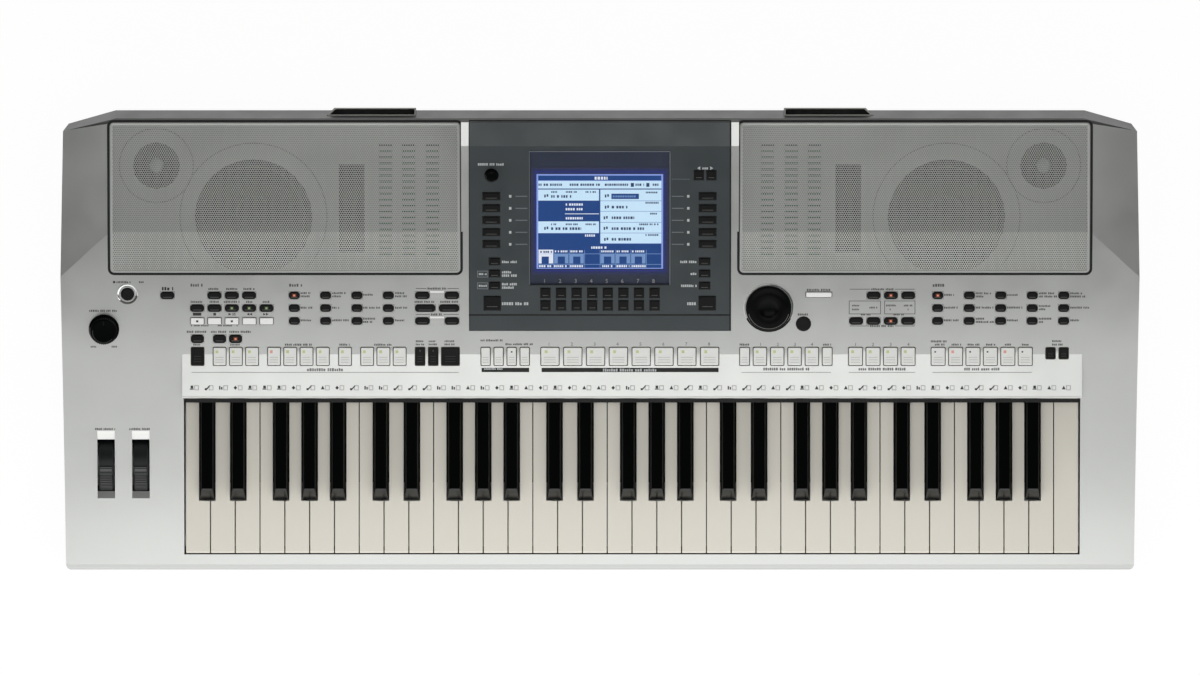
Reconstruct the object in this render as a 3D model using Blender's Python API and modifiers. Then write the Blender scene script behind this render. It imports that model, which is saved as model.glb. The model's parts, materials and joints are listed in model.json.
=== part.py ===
"""An arranger keyboard with 61 keys, a control panel, a display and two built-in speakers.

Metres, +Z up, +X to the player's right, +Y away from the player. The origin is at the
centre of the footprint, on the surface that the feet stand on.
"""

import math

import bmesh
import bpy
from mathutils import Matrix, Vector

# Casing
CASE_W = 1.008
CASE_D = 0.430
SOCKET_PROUD = 0.002  # how far the music rest sockets stand behind the casing
FRONT_Y = -(CASE_D + SOCKET_PROUD) / 2
REAR_Y = FRONT_Y + CASE_D
FOOT_H = 0.006
SEAM_Z = 0.034  # joint line between the lower and the upper case
WALL = 0.003
GAP = 0.0003  # between pieces that seat on each other
CORNER_R = 0.005
SEAM_LAP = 0.006  # how far the upper case's hollow reaches below the seam
SEAM_STEP = 0.001  # how far the lower case stands in at the seam
BOSS_R = 0.0045
RIB_H = 0.009
ABOVE_Z = 0.200  # clear of the casing's top, for cutters

# Top surface: a level ledge over the keys, a sloping panel, a flatter back
LEDGE_Z = 0.0937
LEDGE_REAR_Y = FRONT_Y + 0.2019
LEDGE_FRONT_Y = FRONT_Y + 0.1604
LEDGE_SIDE = 0.0011  # how far the ledge laps the key bay's sides
LEDGE_UNDER_Z = 0.062
LEDGE_SKIRT = 0.0072
PANEL_TILT = math.radians(14.0)
BACK_TILT = math.radians(6.0)
TOP_TILT = math.radians(2.0)
CREASE_Y = REAR_Y - 0.114
RIDGE_Y = REAR_Y - 0.008
REAR_EDGE_DROP = 0.025
RIDGE_GROOVE = 0.0015
CHEEK_FRONT_TILT = math.radians(1.7)
LIP_R = 0.005
POD_W = 0.0463
POD_FALL = 0.130
REAR_CHAMFER_W = 0.0440
REAR_CHAMFER_D = 0.0125
REAR_CORNER_W = 0.0046
REAR_CORNER_D = 0.0075
WIDE_Y = REAR_Y - 0.157  # the casing narrows from here towards its front and its rear
FRONT_NARROW = 0.0034
REAR_NARROW = 0.0030

# Keys
OCTAVES = 5
WHITE_PITCH = 0.02324
KEYS_CENTRE_X = 0.030
KEY_GAP = 0.0010
KEY_FRONT_Y = FRONT_Y + 0.0157
KEY_TOP_Z = 0.072
WHITE_DEPTH = 0.014
BLACK_RISE = 0.012
BLACK_W = 0.0137
BLACK_TOP_W = 0.0098
BLACK_FRONT = 0.0500  # from the front of the white keys to the front of the black ones
BLACK_SLOPE = 0.0100
BLACK_OFFSETS = {0: -0.0029, 1: 0.0029, 3: -0.0035, 4: 0.0, 5: 0.0035}
TAIL_Y = LEDGE_REAR_Y - 0.020
TAIL_W = 0.0080
TAIL_LAP = 0.0020
TAIL_UNDER_Z = 0.0600
HINGE_Z = 0.0550
HINGE_R = 0.0026
HINGE_PITCH = 0.0085
HINGE_FIRST_Y = LEDGE_REAR_Y + 0.006
HINGE_PLAY = 0.0004
HINGE_WEB_T = 0.0020
HINGE_SIDES = 6
KEY_WALL = 0.0018
KEY_EDGE = 0.0012
KEYBED_Z = 0.0390
KEYBED_T = 0.0025
BAY_SIDE = 0.0014
BAY_FRONT = 0.0014
BAY_SKIRT = 0.0024

# Speakers behind their grilles
GRILLE_IN_X = 0.1300
GRILLE_FRONT_Y = LEDGE_REAR_Y + 0.0759
GRILLE_REAR_Y = RIDGE_Y - 0.0035
GRILLE_R = 0.004
PLATE_T = 0.0016
TRAY_DEPTH = 0.0060
TRAY_FLOOR = 0.0030
TRAY_RIM = 0.0030
WOOFER_X = 0.3235
WOOFER_Y = CREASE_Y + 0.0143
WOOFER_R = 0.0660
WOOFER_CONE_R = 0.0550
WOOFER_MAGNET_R = 0.0300
WOOFER_SEAT = 0.0015  # the seat's margin round the frame
WOOFER_SEAT_H = 0.0200
TWEETER_X = 0.4140
TWEETER_Y = CREASE_Y + 0.0621
TWEETER_R = 0.0320
TWEETER_CONE_R = 0.0220
TWEETER_MAGNET_R = 0.0160
PORT_X = 0.2318
PORT_W = 0.0240
PORT_L = 0.0820
PORT_IN = 0.0100  # nearer the player than the grille's middle
VENT_X = (0.1563, 0.1786, 0.2001)
VENT_W = 0.0122
VENT_L = 0.1060
VENT_IN = 0.0030

# Centre panel with the display
CENTRE_HALF = 0.1295
CENTRE_CREASE_Y = REAR_Y - 0.034
PANEL_HALF = 0.1223
PANEL_FRONT_Y = LEDGE_REAR_Y + 0.0221
WINDOW_HALF = 0.0655
WINDOW_Y = (LEDGE_REAR_Y + 0.0650, LEDGE_REAR_Y + 0.1897)
LCD_HALF = 0.0592
LCD_Y = (LEDGE_REAR_Y + 0.0790, LEDGE_REAR_Y + 0.1695)
LCD_T = 0.009
LCD_MARGIN = 0.0012

# Button strips
TOP_RISE = 0.0014
TOP_DRAFT = 0.0003
TOP_CLEARANCE = 0.00035
RUNNER_TOP = -0.0052
RUNNER_T = 0.0014
RUNNER_MARGIN = 0.0012
LEDGE_TOP_RISE = 0.0020

# Wheels in the left cheek
WHEEL_X = (-0.4627, -0.4302)
WHEEL_Y = LEDGE_REAR_Y - 0.1032
WHEEL_R = 0.029
WHEEL_W = 0.0140
WHEEL_PROUD = 0.008
WHEEL_BORE_R = 0.0024
AXLE_R = 0.0020
AXLE_PLAY = 0.0008
SLOT_W = 0.0164
SLOT_L = 0.0470
SLOT_RAMP = 0.0066
SLOT_DROP = 0.0026
SLOT_PLAY = 0.0006  # round the wheel's rim, where it passes through the wall
SLOT_SIDES = 32
WHEEL_RELIEF = 0.0008
BRACKET_Z = 0.0100
BRACKET_T = 0.0020

# Knobs and round buttons: place, radius and height above the panel
VOLUME = (-0.4638, LEDGE_REAR_Y + 0.0235, 0.0143, 0.0115)
POWER = (-0.4415, LEDGE_REAR_Y + 0.0565, 0.0061, 0.0012)
CONTRAST = (-0.1012, LEDGE_REAR_Y + 0.1669, 0.0066, 0.0060)
DIAL = (0.1576, LEDGE_REAR_Y + 0.0435, 0.0214, 0.0052)
ENTER = (0.1902, LEDGE_REAR_Y + 0.0285, 0.0070, 0.0016)
POWER_RING_R = 0.0090
DISH_PLACE = (-0.0072, -0.0052)
DISH_R = 0.0135
DISH_DEPTH = 0.0017
BUTTON_SIDES = 14
SHAFT_R = 0.0030
COLLAR_R = 0.0060
COLLAR_T = 0.0020
SHAFT_CLEARANCE = 0.0008

# Sockets
REST_X = 0.2135
REST_W = 0.0830
REST_SLANT = 0.0070
REST_DEPTH = 0.0074
REST_WALL = 0.0012
REST_TOP = 0.0120  # below the rear ridge
REST_H = 0.0330
JACK_HALF = 0.1200
JACK_Z = (0.0440, 0.0740)
JACK_RECESS = 0.0040
JACK_R = 0.0033
JACK_PITCH = 0.0300
PHONES_X = -0.4460
PHONES_Z = 0.0470
PHONES_SIZE = 0.0120
PHONES_LENGTH = 0.0200
PHONES_NOSE_R = 0.0046
USB_B = (0.0600, 0.0042, 0.0039)  # from the panel's end, half width, half height
USB_A = (0.0250, 0.0066, 0.0029)

# Inside
BOARD_T = 0.0016
MAIN_BOARD = (-0.220, 0.220, LEDGE_REAR_Y + 0.050, REAR_Y - 0.036)
MAIN_BOARD_Z = 0.020
FOOT_R = 0.0110
FOOT_X = 0.430
FOOT_IN_Y = 0.035

WHITE_KEYS = OCTAVES * 7 + 1
KEYS_X = KEYS_CENTRE_X - WHITE_KEYS * WHITE_PITCH / 2
KEYS_END_X = KEYS_X + WHITE_KEYS * WHITE_PITCH
BAY_X = (KEYS_X - BAY_SIDE, KEYS_END_X + BAY_SIDE)
GRILLE_OUT_X = CASE_W / 2 - POD_W
TRAY_CHAMFER = 0.6 * CORNER_R


def panel_z(y):
    """Height of the sloping panel."""
    return LEDGE_Z + (y - LEDGE_REAR_Y) * math.tan(PANEL_TILT)


def side_z(y):
    """Height of the panel and, behind the crease, of the flatter back."""
    if y <= CREASE_Y:
        return panel_z(y)
    return panel_z(CREASE_Y) + (y - CREASE_Y) * math.tan(BACK_TILT)


def centre_z(y):
    """Height of the raised centre block, whose panel slope runs on past the crease."""
    if y <= CENTRE_CREASE_Y:
        return panel_z(y)
    return panel_z(CENTRE_CREASE_Y) + (y - CENTRE_CREASE_Y) * math.tan(TOP_TILT)


def cheek_z(y):
    """Height of the cheeks and the front lip: a sweep from the panel's slope to near level."""
    steep = math.tan(PANEL_TILT)
    level = math.tan(CHEEK_FRONT_TILT)
    back = LEDGE_REAR_Y - y
    length = LEDGE_REAR_Y - FRONT_Y
    return LEDGE_Z - steep * back + (steep - level) * back * back / (2 * length)


def panel_frame(y=None):
    """The panel's own axes: X, up the slope, and out of the surface."""
    origin = LEDGE_REAR_Y if y is None else y
    return Matrix.Translation((0, origin, panel_z(origin))) @ Matrix.Rotation(PANEL_TILT, 4, "X")


def on_panel(x, y):
    """Axes at a point of the panel."""
    return panel_frame(y) @ Matrix.Translation((x, 0, 0))


def clear_scene():
    for thing in list(bpy.data.objects):
        bpy.data.objects.remove(thing)


def collection(name):
    found = bpy.data.collections.get(name)
    if found is None:
        found = bpy.data.collections.new(name)
        bpy.context.scene.collection.children.link(found)
    return found


def material(name, colour, roughness, metallic=0.0):
    made = bpy.data.materials.get(name)
    if made is None:
        made = bpy.data.materials.new(name)
        made.use_nodes = True
        shader = made.node_tree.nodes["Principled BSDF"]
        shader.inputs["Base Color"].default_value = (*colour, 1.0)
        shader.inputs["Roughness"].default_value = roughness
        shader.inputs["Metallic"].default_value = metallic
        made.diffuse_color = (*colour, 1.0)
    return made


FINISHES = {
    "silver_paint": ((0.50, 0.51, 0.49), 0.38, 0.25),
    "dark_panel": ((0.045, 0.055, 0.065), 0.45, 0.0),
    "black_plastic": ((0.012, 0.013, 0.013), 0.40, 0.0),
    "white_button": ((0.76, 0.77, 0.73), 0.35, 0.0),
    "ivory_key": ((0.76, 0.73, 0.64), 0.30, 0.0),
    "black_key": ((0.006, 0.007, 0.007), 0.25, 0.0),
    "grille_mesh": ((0.28, 0.29, 0.28), 0.45, 0.6),
    "speaker_paper": ((0.02, 0.02, 0.02), 0.85, 0.0),
    "steel": ((0.55, 0.56, 0.57), 0.35, 0.9),
    "circuit_board": ((0.05, 0.20, 0.09), 0.55, 0.0),
    "lcd_frame": ((0.09, 0.11, 0.30), 0.40, 0.0),
    "clear_window": ((0.75, 0.80, 0.86), 0.08, 0.0),
    "rubber": ((0.03, 0.03, 0.03), 0.90, 0.0),
}


def part(name, mesh, finish):
    """A named sub-part in the product's collection, with its own material."""
    made = bpy.data.objects.new(name, mesh)
    collection("arranger_keyboard").objects.link(made)
    mesh.materials.clear()
    mesh.materials.append(material(f"{name}_{finish}", *FINISHES[finish]))
    return made


def cutter(name, mesh):
    made = bpy.data.objects.new(name, mesh)
    collection("cutters").objects.link(made)
    made.hide_render = True
    made.display_type = "WIRE"
    return made


def boolean(target, tool, operation):
    step = target.modifiers.new(f"{operation.lower()}_{tool.name}", "BOOLEAN")
    step.operation = operation
    step.solver = "EXACT"
    step.object = tool
    return step


def to_mesh(name, bm, matrix=None):
    """Ends a bmesh as mesh data, faces out."""
    if matrix is not None:
        bm.transform(matrix)
    bmesh.ops.recalc_face_normals(bm, faces=bm.faces)
    if bm.calc_volume(signed=True) < 0:
        bmesh.ops.reverse_faces(bm, faces=bm.faces)
    mesh = bpy.data.meshes.new(name)
    bm.to_mesh(mesh)
    bm.free()
    return mesh


def add_box(bm, x, y, z, matrix=None):
    """A box from (low, high) pairs."""
    size = Matrix.Diagonal((x[1] - x[0], y[1] - y[0], z[1] - z[0], 1.0))
    place = Matrix.Translation(((x[0] + x[1]) / 2, (y[0] + y[1]) / 2, (z[0] + z[1]) / 2)) @ size
    if matrix is not None:
        place = matrix @ place
    return bmesh.ops.create_cube(bm, size=1.0, matrix=place)["verts"]


def add_cylinder(bm, radius, z, matrix, sides=24):
    """A cylinder round the local Z of matrix, from z[0] to z[1]."""
    place = matrix @ Matrix.Translation((0, 0, (z[0] + z[1]) / 2))
    return bmesh.ops.create_cone(
        bm, cap_ends=True, segments=sides, radius1=radius, radius2=radius,
        depth=z[1] - z[0], matrix=place,
    )["verts"]


def boxes(name, rows, matrix=None):
    bm = bmesh.new()
    for row in rows:
        add_box(bm, *row)
    return to_mesh(name, bm, matrix)


def outline_mesh(name, points, thickness, matrix):
    """A flat outline given thickness: a filled 2D curve made into a welded mesh."""
    curve = bpy.data.curves.new(name, "CURVE")
    curve.dimensions = "2D"
    curve.fill_mode = "BOTH"
    curve.extrude = thickness / 2
    spline = curve.splines.new("POLY")
    spline.points.add(len(points) - 1)
    for point, (u, v) in zip(spline.points, points):
        point.co = (u, v, 0.0, 1.0)
    spline.use_cyclic_u = True
    holder = bpy.data.objects.new(name, curve)
    bpy.context.scene.collection.objects.link(holder)
    graph = bpy.context.evaluated_depsgraph_get()
    raw = bpy.data.meshes.new_from_object(holder.evaluated_get(graph))
    bpy.data.objects.remove(holder)
    bm = bmesh.new()
    bm.from_mesh(raw)
    bmesh.ops.remove_doubles(bm, verts=bm.verts, dist=1e-6)
    flat = [e for e in bm.edges if len(e.link_faces) == 2 and e.calc_face_angle(1.0) < 1e-4]
    bmesh.ops.dissolve_edges(bm, edges=flat, use_verts=False)
    return to_mesh(name, bm, matrix)


def across(x0, x1):
    """Axes that lay an outline of (y, z) points across the width, centred from x0 to x1."""
    turn = Matrix(((0, 0, 1, 0), (1, 0, 0, 0), (0, 1, 0, 0), (0, 0, 0, 1)))
    return Matrix.Translation(((x0 + x1) / 2, 0, 0)) @ turn


def side_profile(name, points, x0, x1):
    return outline_mesh(name, points, x1 - x0, across(x0, x1))


def surface_strip(height, breaks, y0, y1, low, high):
    """An outline that follows a surface between two offsets from it."""
    stops = [y0] + [b for b in breaks if y0 < b < y1] + [y1]
    top = [(y, height(y) + high) for y in stops]
    bottom = [(y, height(y) + low) for y in reversed(stops)]
    return bottom + top


def round_plan_corners(mesh, radius, segments=2):
    """Rounds the four upright corner edges of a slab."""
    bm = bmesh.new()
    bm.from_mesh(mesh)
    xs = [v.co.x for v in bm.verts]
    ys = [v.co.y for v in bm.verts]
    ends_x = (min(xs), max(xs))
    ends_y = (min(ys), max(ys))

    def at_corner(v):
        on_x = min(abs(v.co.x - e) for e in ends_x) < 1e-5
        on_y = min(abs(v.co.y - e) for e in ends_y) < 1e-5
        return on_x and on_y

    upright = [e for e in bm.edges if at_corner(e.verts[0]) and at_corner(e.verts[1])]
    upright = [e for e in upright if abs(e.verts[0].co.z - e.verts[1].co.z) > 1e-4]
    upright = [e for e in upright if (e.verts[0].co.xy - e.verts[1].co.xy).length < 1e-5]
    bmesh.ops.bevel(bm, geom=upright, offset=radius, segments=segments, profile=0.5, affect="EDGES")
    bm.to_mesh(mesh)
    bm.free()
    return mesh


def slab(name, height, breaks, x, y, low, high, radius=0.0):
    """A slab under or over a surface, with rounded corners in plan."""
    made = side_profile(name, surface_strip(height, breaks, *y, low, high), *x)
    if radius:
        round_plan_corners(made, radius)
    return made


def turned(name, profile, steps, matrix, finish=None):
    """A turned piece: its profile's outer side, from the top to the bottom, and a Screw."""
    mesh = bpy.data.meshes.new(name)
    bm = bmesh.new()
    verts = [bm.verts.new((radius, 0.0, height)) for radius, height in profile]
    for a, b in zip(verts, verts[1:]):
        bm.edges.new((a, b))
    bm.to_mesh(mesh)
    bm.free()
    made = part(name, mesh, finish) if finish else cutter(name, mesh)
    made.matrix_world = matrix
    screw = made.modifiers.new("turn", "SCREW")
    screw.axis = "Z"
    screw.steps = steps
    screw.render_steps = steps
    screw.use_merge_vertices = True
    screw.merge_threshold = 1e-5
    screw.use_smooth_shade = True
    return made


def inset_outline(points, distances):
    """Moves each side of a counter-clockwise outline inwards by its own distance."""
    moved = []
    for (a, b), d in zip(zip(points, points[1:] + points[:1]), distances):
        a, b = Vector(a), Vector(b)
        along = (b - a).normalized()
        inward = Vector((-along.y, along.x))
        moved.append((a + inward * d, along))
    result = []
    for i, (here, along) in enumerate(moved):
        before, before_along = moved[i - 1]
        cross = before_along.x * along.y - before_along.y * along.x
        offset = here - before
        reach = (offset.x * along.y - offset.y * along.x) / cross
        result.append(tuple(before + before_along * reach))
    return result


def cut_by_plane(bm, point, normal):
    """Keeps what lies behind a plane and closes the cut."""
    everything = bm.verts[:] + bm.edges[:] + bm.faces[:]
    result = bmesh.ops.bisect_plane(
        bm, geom=everything, dist=1e-7, plane_co=point, plane_no=normal, clear_outer=True
    )
    rim = [g for g in result["geom_cut"] if isinstance(g, bmesh.types.BMEdge)]
    if rim:
        bmesh.ops.edgeloop_fill(bm, edges=rim)


def casing_planes():
    """Facets that trim the casing beside its side profile: (point, outward normal)."""
    planes = []
    out_x = CASE_W / 2
    rear_x = out_x - REAR_NARROW
    diagonal_start = Vector((rear_x - REAR_CORNER_W - REAR_CHAMFER_W, REAR_Y))
    diagonal_end = Vector((rear_x - REAR_CORNER_W, REAR_Y - REAR_CHAMFER_D))
    corner_end = Vector((rear_x, REAR_Y - REAR_CHAMFER_D - REAR_CORNER_D))
    front_end = Vector((out_x - FRONT_NARROW, FRONT_Y))
    facet_run = REAR_Y - RIDGE_Y
    for side in (-1, 1):
        wide = Vector((out_x, WIDE_Y))
        corners = (diagonal_start, diagonal_end, corner_end, wide, front_end)
        for a, b in zip(corners, corners[1:]):
            along = (b - a).normalized()
            planes.append((Vector((side * a.x, a.y, 0)), Vector((-side * along.y, along.x, 0))))
        along = (diagonal_end - diagonal_start).normalized()
        steep = REAR_EDGE_DROP / facet_run
        slanted = Vector((-side * along.y * steep, along.x * steep, 1.0))
        edge_z = side_z(RIDGE_Y) - REAR_EDGE_DROP
        planes.append((Vector((side * diagonal_start.x, REAR_Y, edge_z)), slanted.normalized()))
        pod = Vector((side * POD_FALL, -math.tan(BACK_TILT), 1.0)).normalized()
        pod_x = side * (out_x - POD_W)
        planes.append((Vector((pod_x, CREASE_Y, side_z(CREASE_Y))), pod))
        for turn in (22.5, 45.0, 67.5):
            angle = math.radians(turn)
            normal = Vector((side * math.cos(angle), -math.sin(angle), 0))
            centre = Vector((side * (front_end.x - CORNER_R), FRONT_Y + CORNER_R, 0))
            planes.append((centre + normal * CORNER_R, normal))
    inside = Vector((0, 0, SEAM_Z))
    return [(p, -n if n.dot(inside - p) > 0 else n) for p, n in planes]


def casing_outline():
    """The casing's side profile, counter-clockwise in (y, z) from the bottom of the front."""
    sweep = 7
    lip_y = FRONT_Y + LIP_R
    front = [(lip_y, cheek_z(lip_y))]
    for i in range(1, sweep):
        y = lip_y + (LEDGE_REAR_Y - lip_y) * (i / sweep) ** 0.8
        front.append((y, cheek_z(y)))
    arc = [
        (FRONT_Y + LIP_R * (1 - math.sin(a)), cheek_z(lip_y) - LIP_R * (1 - math.cos(a)))
        for a in (math.radians(d) for d in (90, 60, 30))
    ]
    top = front + [
        (LEDGE_REAR_Y, LEDGE_Z),
        (CREASE_Y, side_z(CREASE_Y)),
        (RIDGE_Y, side_z(RIDGE_Y)),
        (REAR_Y, side_z(RIDGE_Y) - REAR_EDGE_DROP),
    ]
    clockwise = [(FRONT_Y, SEAM_Z)] + arc + top + [(REAR_Y, SEAM_Z)]
    return list(reversed(clockwise))


def casing_solid(name, wall, reach):
    """The casing's outer form, or with a wall its hollow, reaching below the seam."""
    outline = casing_outline()
    distances = [wall] * (len(outline) - 1) + [-reach]
    if wall or reach:
        outline = inset_outline(outline, distances)
    half = CASE_W / 2 - wall
    mesh = side_profile(name, outline, -half, half)
    bm = bmesh.new()
    bm.from_mesh(mesh)
    for point, normal in casing_planes():
        cut_by_plane(bm, point - normal * wall, normal)
    return to_mesh(name, bm)


def row(start, count, pitch, y, w, d):
    return [(start + pitch * i, y, w, d) for i in range(count)]


# Button places: (x, y behind the ledge's rear edge, width, depth as seen from above)
ROWS_Y = (0.0551, 0.0432, 0.0312)
SMALL = (0.0129, 0.0068)
NARROW = (0.0100, 0.0068)
PAD_Y = -0.0019
PAD_D = 0.0170


def panel_strips():
    """Strips whose keytops stand square to the sloping panel."""
    song = row(-0.3603, 3, 0.0162, ROWS_Y[0], *SMALL)
    song += row(-0.3765, 5, 0.0162, ROWS_Y[1], *SMALL) + row(-0.3765, 5, 0.0162, ROWS_Y[2], *SMALL)
    song += [(-0.4042, ROWS_Y[0], *SMALL)]
    styles = [k for y in ROWS_Y for k in row(-0.2857, 4, 0.0293, y, *NARROW)]
    tempo = [k for y in (ROWS_Y[0], ROWS_Y[2]) for k in row(-0.1660, 2, 0.0276, y, 0.0134, 0.0068)]
    tempo += row(-0.1633, 2, 0.0222, ROWS_Y[1], 0.0189, 0.0068)
    fade = [(-0.3765, 0.0145, 0.0119, 0.0077)] + row(-0.3558, 2, 0.0150, 0.0145, 0.0119, 0.0077)
    parts = row(0.2556, 3, 0.0162, ROWS_Y[0], 0.0127, 0.0068)
    parts += row(0.2394, 4, 0.0162, ROWS_Y[2], 0.0127, 0.0068)
    parts += [(0.2045, 0.0559, 0.0244, 0.0051)]
    voices = [k for y in ROWS_Y for k in row(0.3156, 5, 0.02945, y, *NARROW)]
    return {
        "song_buttons": song,
        "style_select_buttons": styles,
        "tempo_buttons": tempo,
        "fade_and_fill_buttons": fade,
        "part_select_buttons": parts,
        "voice_buttons": voices,
    }


def centre_strips():
    """Strips round the display, which come through the centre panel."""
    left = [(-0.1014, 0.1029 + 0.01115 * i, 0.0160, 0.0070) for i in range(5)]
    left += [(-0.0985, 0.0643 + 0.01125 * i, 0.0101, 0.0068) for i in range(3)]
    left += [(-0.1007, 0.0478, 0.0156, 0.0132)]
    right = [(0.1004, 0.1029 + 0.01115 * i, 0.0160, 0.0070) for i in range(5)]
    right += [(0.0977, 0.0643 + 0.01125 * i, 0.0101, 0.0068) for i in range(3)]
    right += [(0.1002, 0.0478, 0.0156, 0.0132)]
    right += [(0.0921, 0.1670, 0.0088, 0.0090), (0.1039, 0.1670, 0.0088, 0.0090)]
    under = row(-0.0510, 8, 0.01457, 0.0574, 0.0090, 0.0093)
    under += row(-0.0510, 8, 0.01457, 0.0458, 0.0090, 0.0093)
    return {
        "display_left_buttons": left,
        "display_right_buttons": right,
        "display_lower_buttons": under,
    }


def ledge_strips():
    """Strips of tall keytops that stand upright where the panel meets the ledge."""
    control = [(-0.3764, PAD_Y, 0.0120, PAD_D)]
    for start, count in ((-0.3558, 3), (-0.3049, 4), (-0.2385, 1), (-0.2178, 3)):
        control += row(start, count, 0.0152, PAD_Y, 0.0120, PAD_D)
    sync = row(-0.1683, 2, 0.0123, PAD_Y, 0.0090, PAD_D) + [(-0.1399, PAD_Y, 0.0168, PAD_D)]
    memory = row(-0.1070, 4, 0.0122, PAD_Y, 0.0087, PAD_D)
    memory += row(-0.0468, 8, 0.02134, PAD_Y, 0.0171, PAD_D)
    pads = [(0.1353, PAD_Y, 0.0092, PAD_D)] + row(0.1496, 4, 0.0162, PAD_Y, 0.0125, PAD_D)
    pads += [(0.2125, PAD_Y, 0.0092, PAD_D)]
    touch = row(0.2390, 4, 0.0164, PAD_Y, 0.0131, PAD_D)
    voice = row(0.3163, 6, 0.0163, PAD_Y, 0.0131, PAD_D)
    voice += row(0.4214, 2, 0.0123, 0.0010, 0.0089, 0.0107)
    return {
        "style_control_buttons": control,
        "sync_start_buttons": sync,
        "registration_buttons": memory,
        "multi_pad_buttons": pads,
        "one_touch_buttons": touch,
        "voice_control_buttons": voice,
    }


WHITE_STRIPS = {
    "style_control_buttons", "registration_buttons", "multi_pad_buttons",
    "one_touch_buttons", "voice_control_buttons",
}
LADDER_STRIPS = {"song_buttons", "part_select_buttons"}


def keytop_spans(tops, slope, grow=0.0):
    """Each keytop's (x, v) span in its surface's own axes, grown on every side."""
    stretch = 1.0 / math.cos(slope)
    for x, y, w, d in tops:
        yield (
            (x - w / 2 - grow, x + w / 2 + grow),
            ((y - d / 2) * stretch - grow, (y + d / 2) * stretch + grow),
        )


def bounds_of(spans):
    xs = [e for x, _ in spans for e in x]
    vs = [e for _, v in spans for e in v]
    return (min(xs), max(xs)), (min(vs), max(vs))


def runner_bars(tops, slope, ladder):
    """(the main bar, the further bars): one plate, or bars under the rows and a tie."""
    spans = sorted(keytop_spans(tops, slope, RUNNER_MARGIN), key=lambda span: span[1])
    if not ladder:
        return bounds_of(spans), []
    rows = [[spans[0]]]
    for span in spans[1:]:
        if span[1][0] < bounds_of(rows[-1])[1][1]:
            rows[-1].append(span)
        else:
            rows.append([span])
    bars = [bounds_of(r) for r in rows]
    shared = (max(x[0] for x, _ in bars), min(x[1] for x, _ in bars))
    return (shared, bounds_of(spans)[1]), bars


def make_strip(name, tops, slope, rise, finish):
    """Keytops with a moulding draft on a common runner, which slides square to its surface."""
    axes = Matrix.Translation((0, LEDGE_REAR_Y, LEDGE_Z)) @ Matrix.Rotation(slope, 4, "X")
    bm = bmesh.new()
    for x, v in keytop_spans(tops, slope):
        verts = add_box(bm, x, v, (RUNNER_TOP - RUNNER_T / 2, rise))
        for w in verts:
            if w.co.z > 0:
                w.co.x += math.copysign(TOP_DRAFT, (x[0] + x[1]) / 2 - w.co.x)
                w.co.y += math.copysign(TOP_DRAFT, (v[0] + v[1]) / 2 - w.co.y)
    keytops = cutter(f"{name}_keytops", to_mesh(f"{name}_keytops", bm))
    main_bar, bars = runner_bars(tops, slope, name in LADDER_STRIPS)
    depth = (RUNNER_TOP - RUNNER_T, RUNNER_TOP)
    made = part(name, boxes(name, [(*main_bar, depth)]), finish)
    if bars:
        rungs = cutter(f"{name}_bars", boxes(f"{name}_bars", [(*bar, depth) for bar in bars]))
        rungs.matrix_world = axes
        boolean(made, rungs, "UNION")
    boolean(made, keytops, "UNION")
    made.matrix_world = axes
    keytops.matrix_world = axes
    return made


def strip_holes(name, strips, slope):
    """One cutter for all the holes that the strips' keytops come through."""
    axes = Matrix.Translation((0, LEDGE_REAR_Y, LEDGE_Z)) @ Matrix.Rotation(slope, 4, "X")
    rows = []
    for tops in strips.values():
        for x, v in keytop_spans(tops, slope, TOP_CLEARANCE):
            rows.append((x, v, (-0.012, 0.012)))
    return cutter(name, boxes(name, rows, axes))


def black_centre(white):
    """Place of the black key that follows a white key's index in its octave."""
    return (white + 1) * WHITE_PITCH + BLACK_OFFSETS[white]


def white_key_span(index):
    """(left, right, back left, back right) of a white key, with its black key notches."""
    note = index % 7
    octave = (index - note) * WHITE_PITCH
    left = index * WHITE_PITCH + KEY_GAP / 2
    right = (index + 1) * WHITE_PITCH - KEY_GAP / 2
    notch = BLACK_W / 2 + KEY_GAP
    last = index == WHITE_KEYS - 1
    back_left, back_right = left, right
    if note - 1 in BLACK_OFFSETS:
        back_left = octave + black_centre(note - 1) + notch
    if note in BLACK_OFFSETS and not last:
        back_right = octave + black_centre(note) - notch
    return tuple(KEYS_X + x for x in (left, right, back_left, back_right))


def hinge_y(layer):
    return HINGE_FIRST_Y + HINGE_PITCH * layer


def add_tail(bm, x, layer):
    """A key's tail: over the nearer hinge rods, then down to its own."""
    y = hinge_y(layer)
    middle = (x[0] + x[1]) / 2
    half = min(TAIL_W, x[1] - x[0]) / 2
    across_tail = (middle - half, middle + half)
    end = y + HINGE_WEB_T / 2
    add_box(bm, across_tail, (TAIL_Y - TAIL_LAP, end), (TAIL_UNDER_Z, KEY_TOP_Z - 2 * KEY_WALL))
    add_box(bm, across_tail, (end - HINGE_WEB_T, end), (HINGE_Z, TAIL_UNDER_Z + KEY_WALL))
    return across_tail


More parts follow.
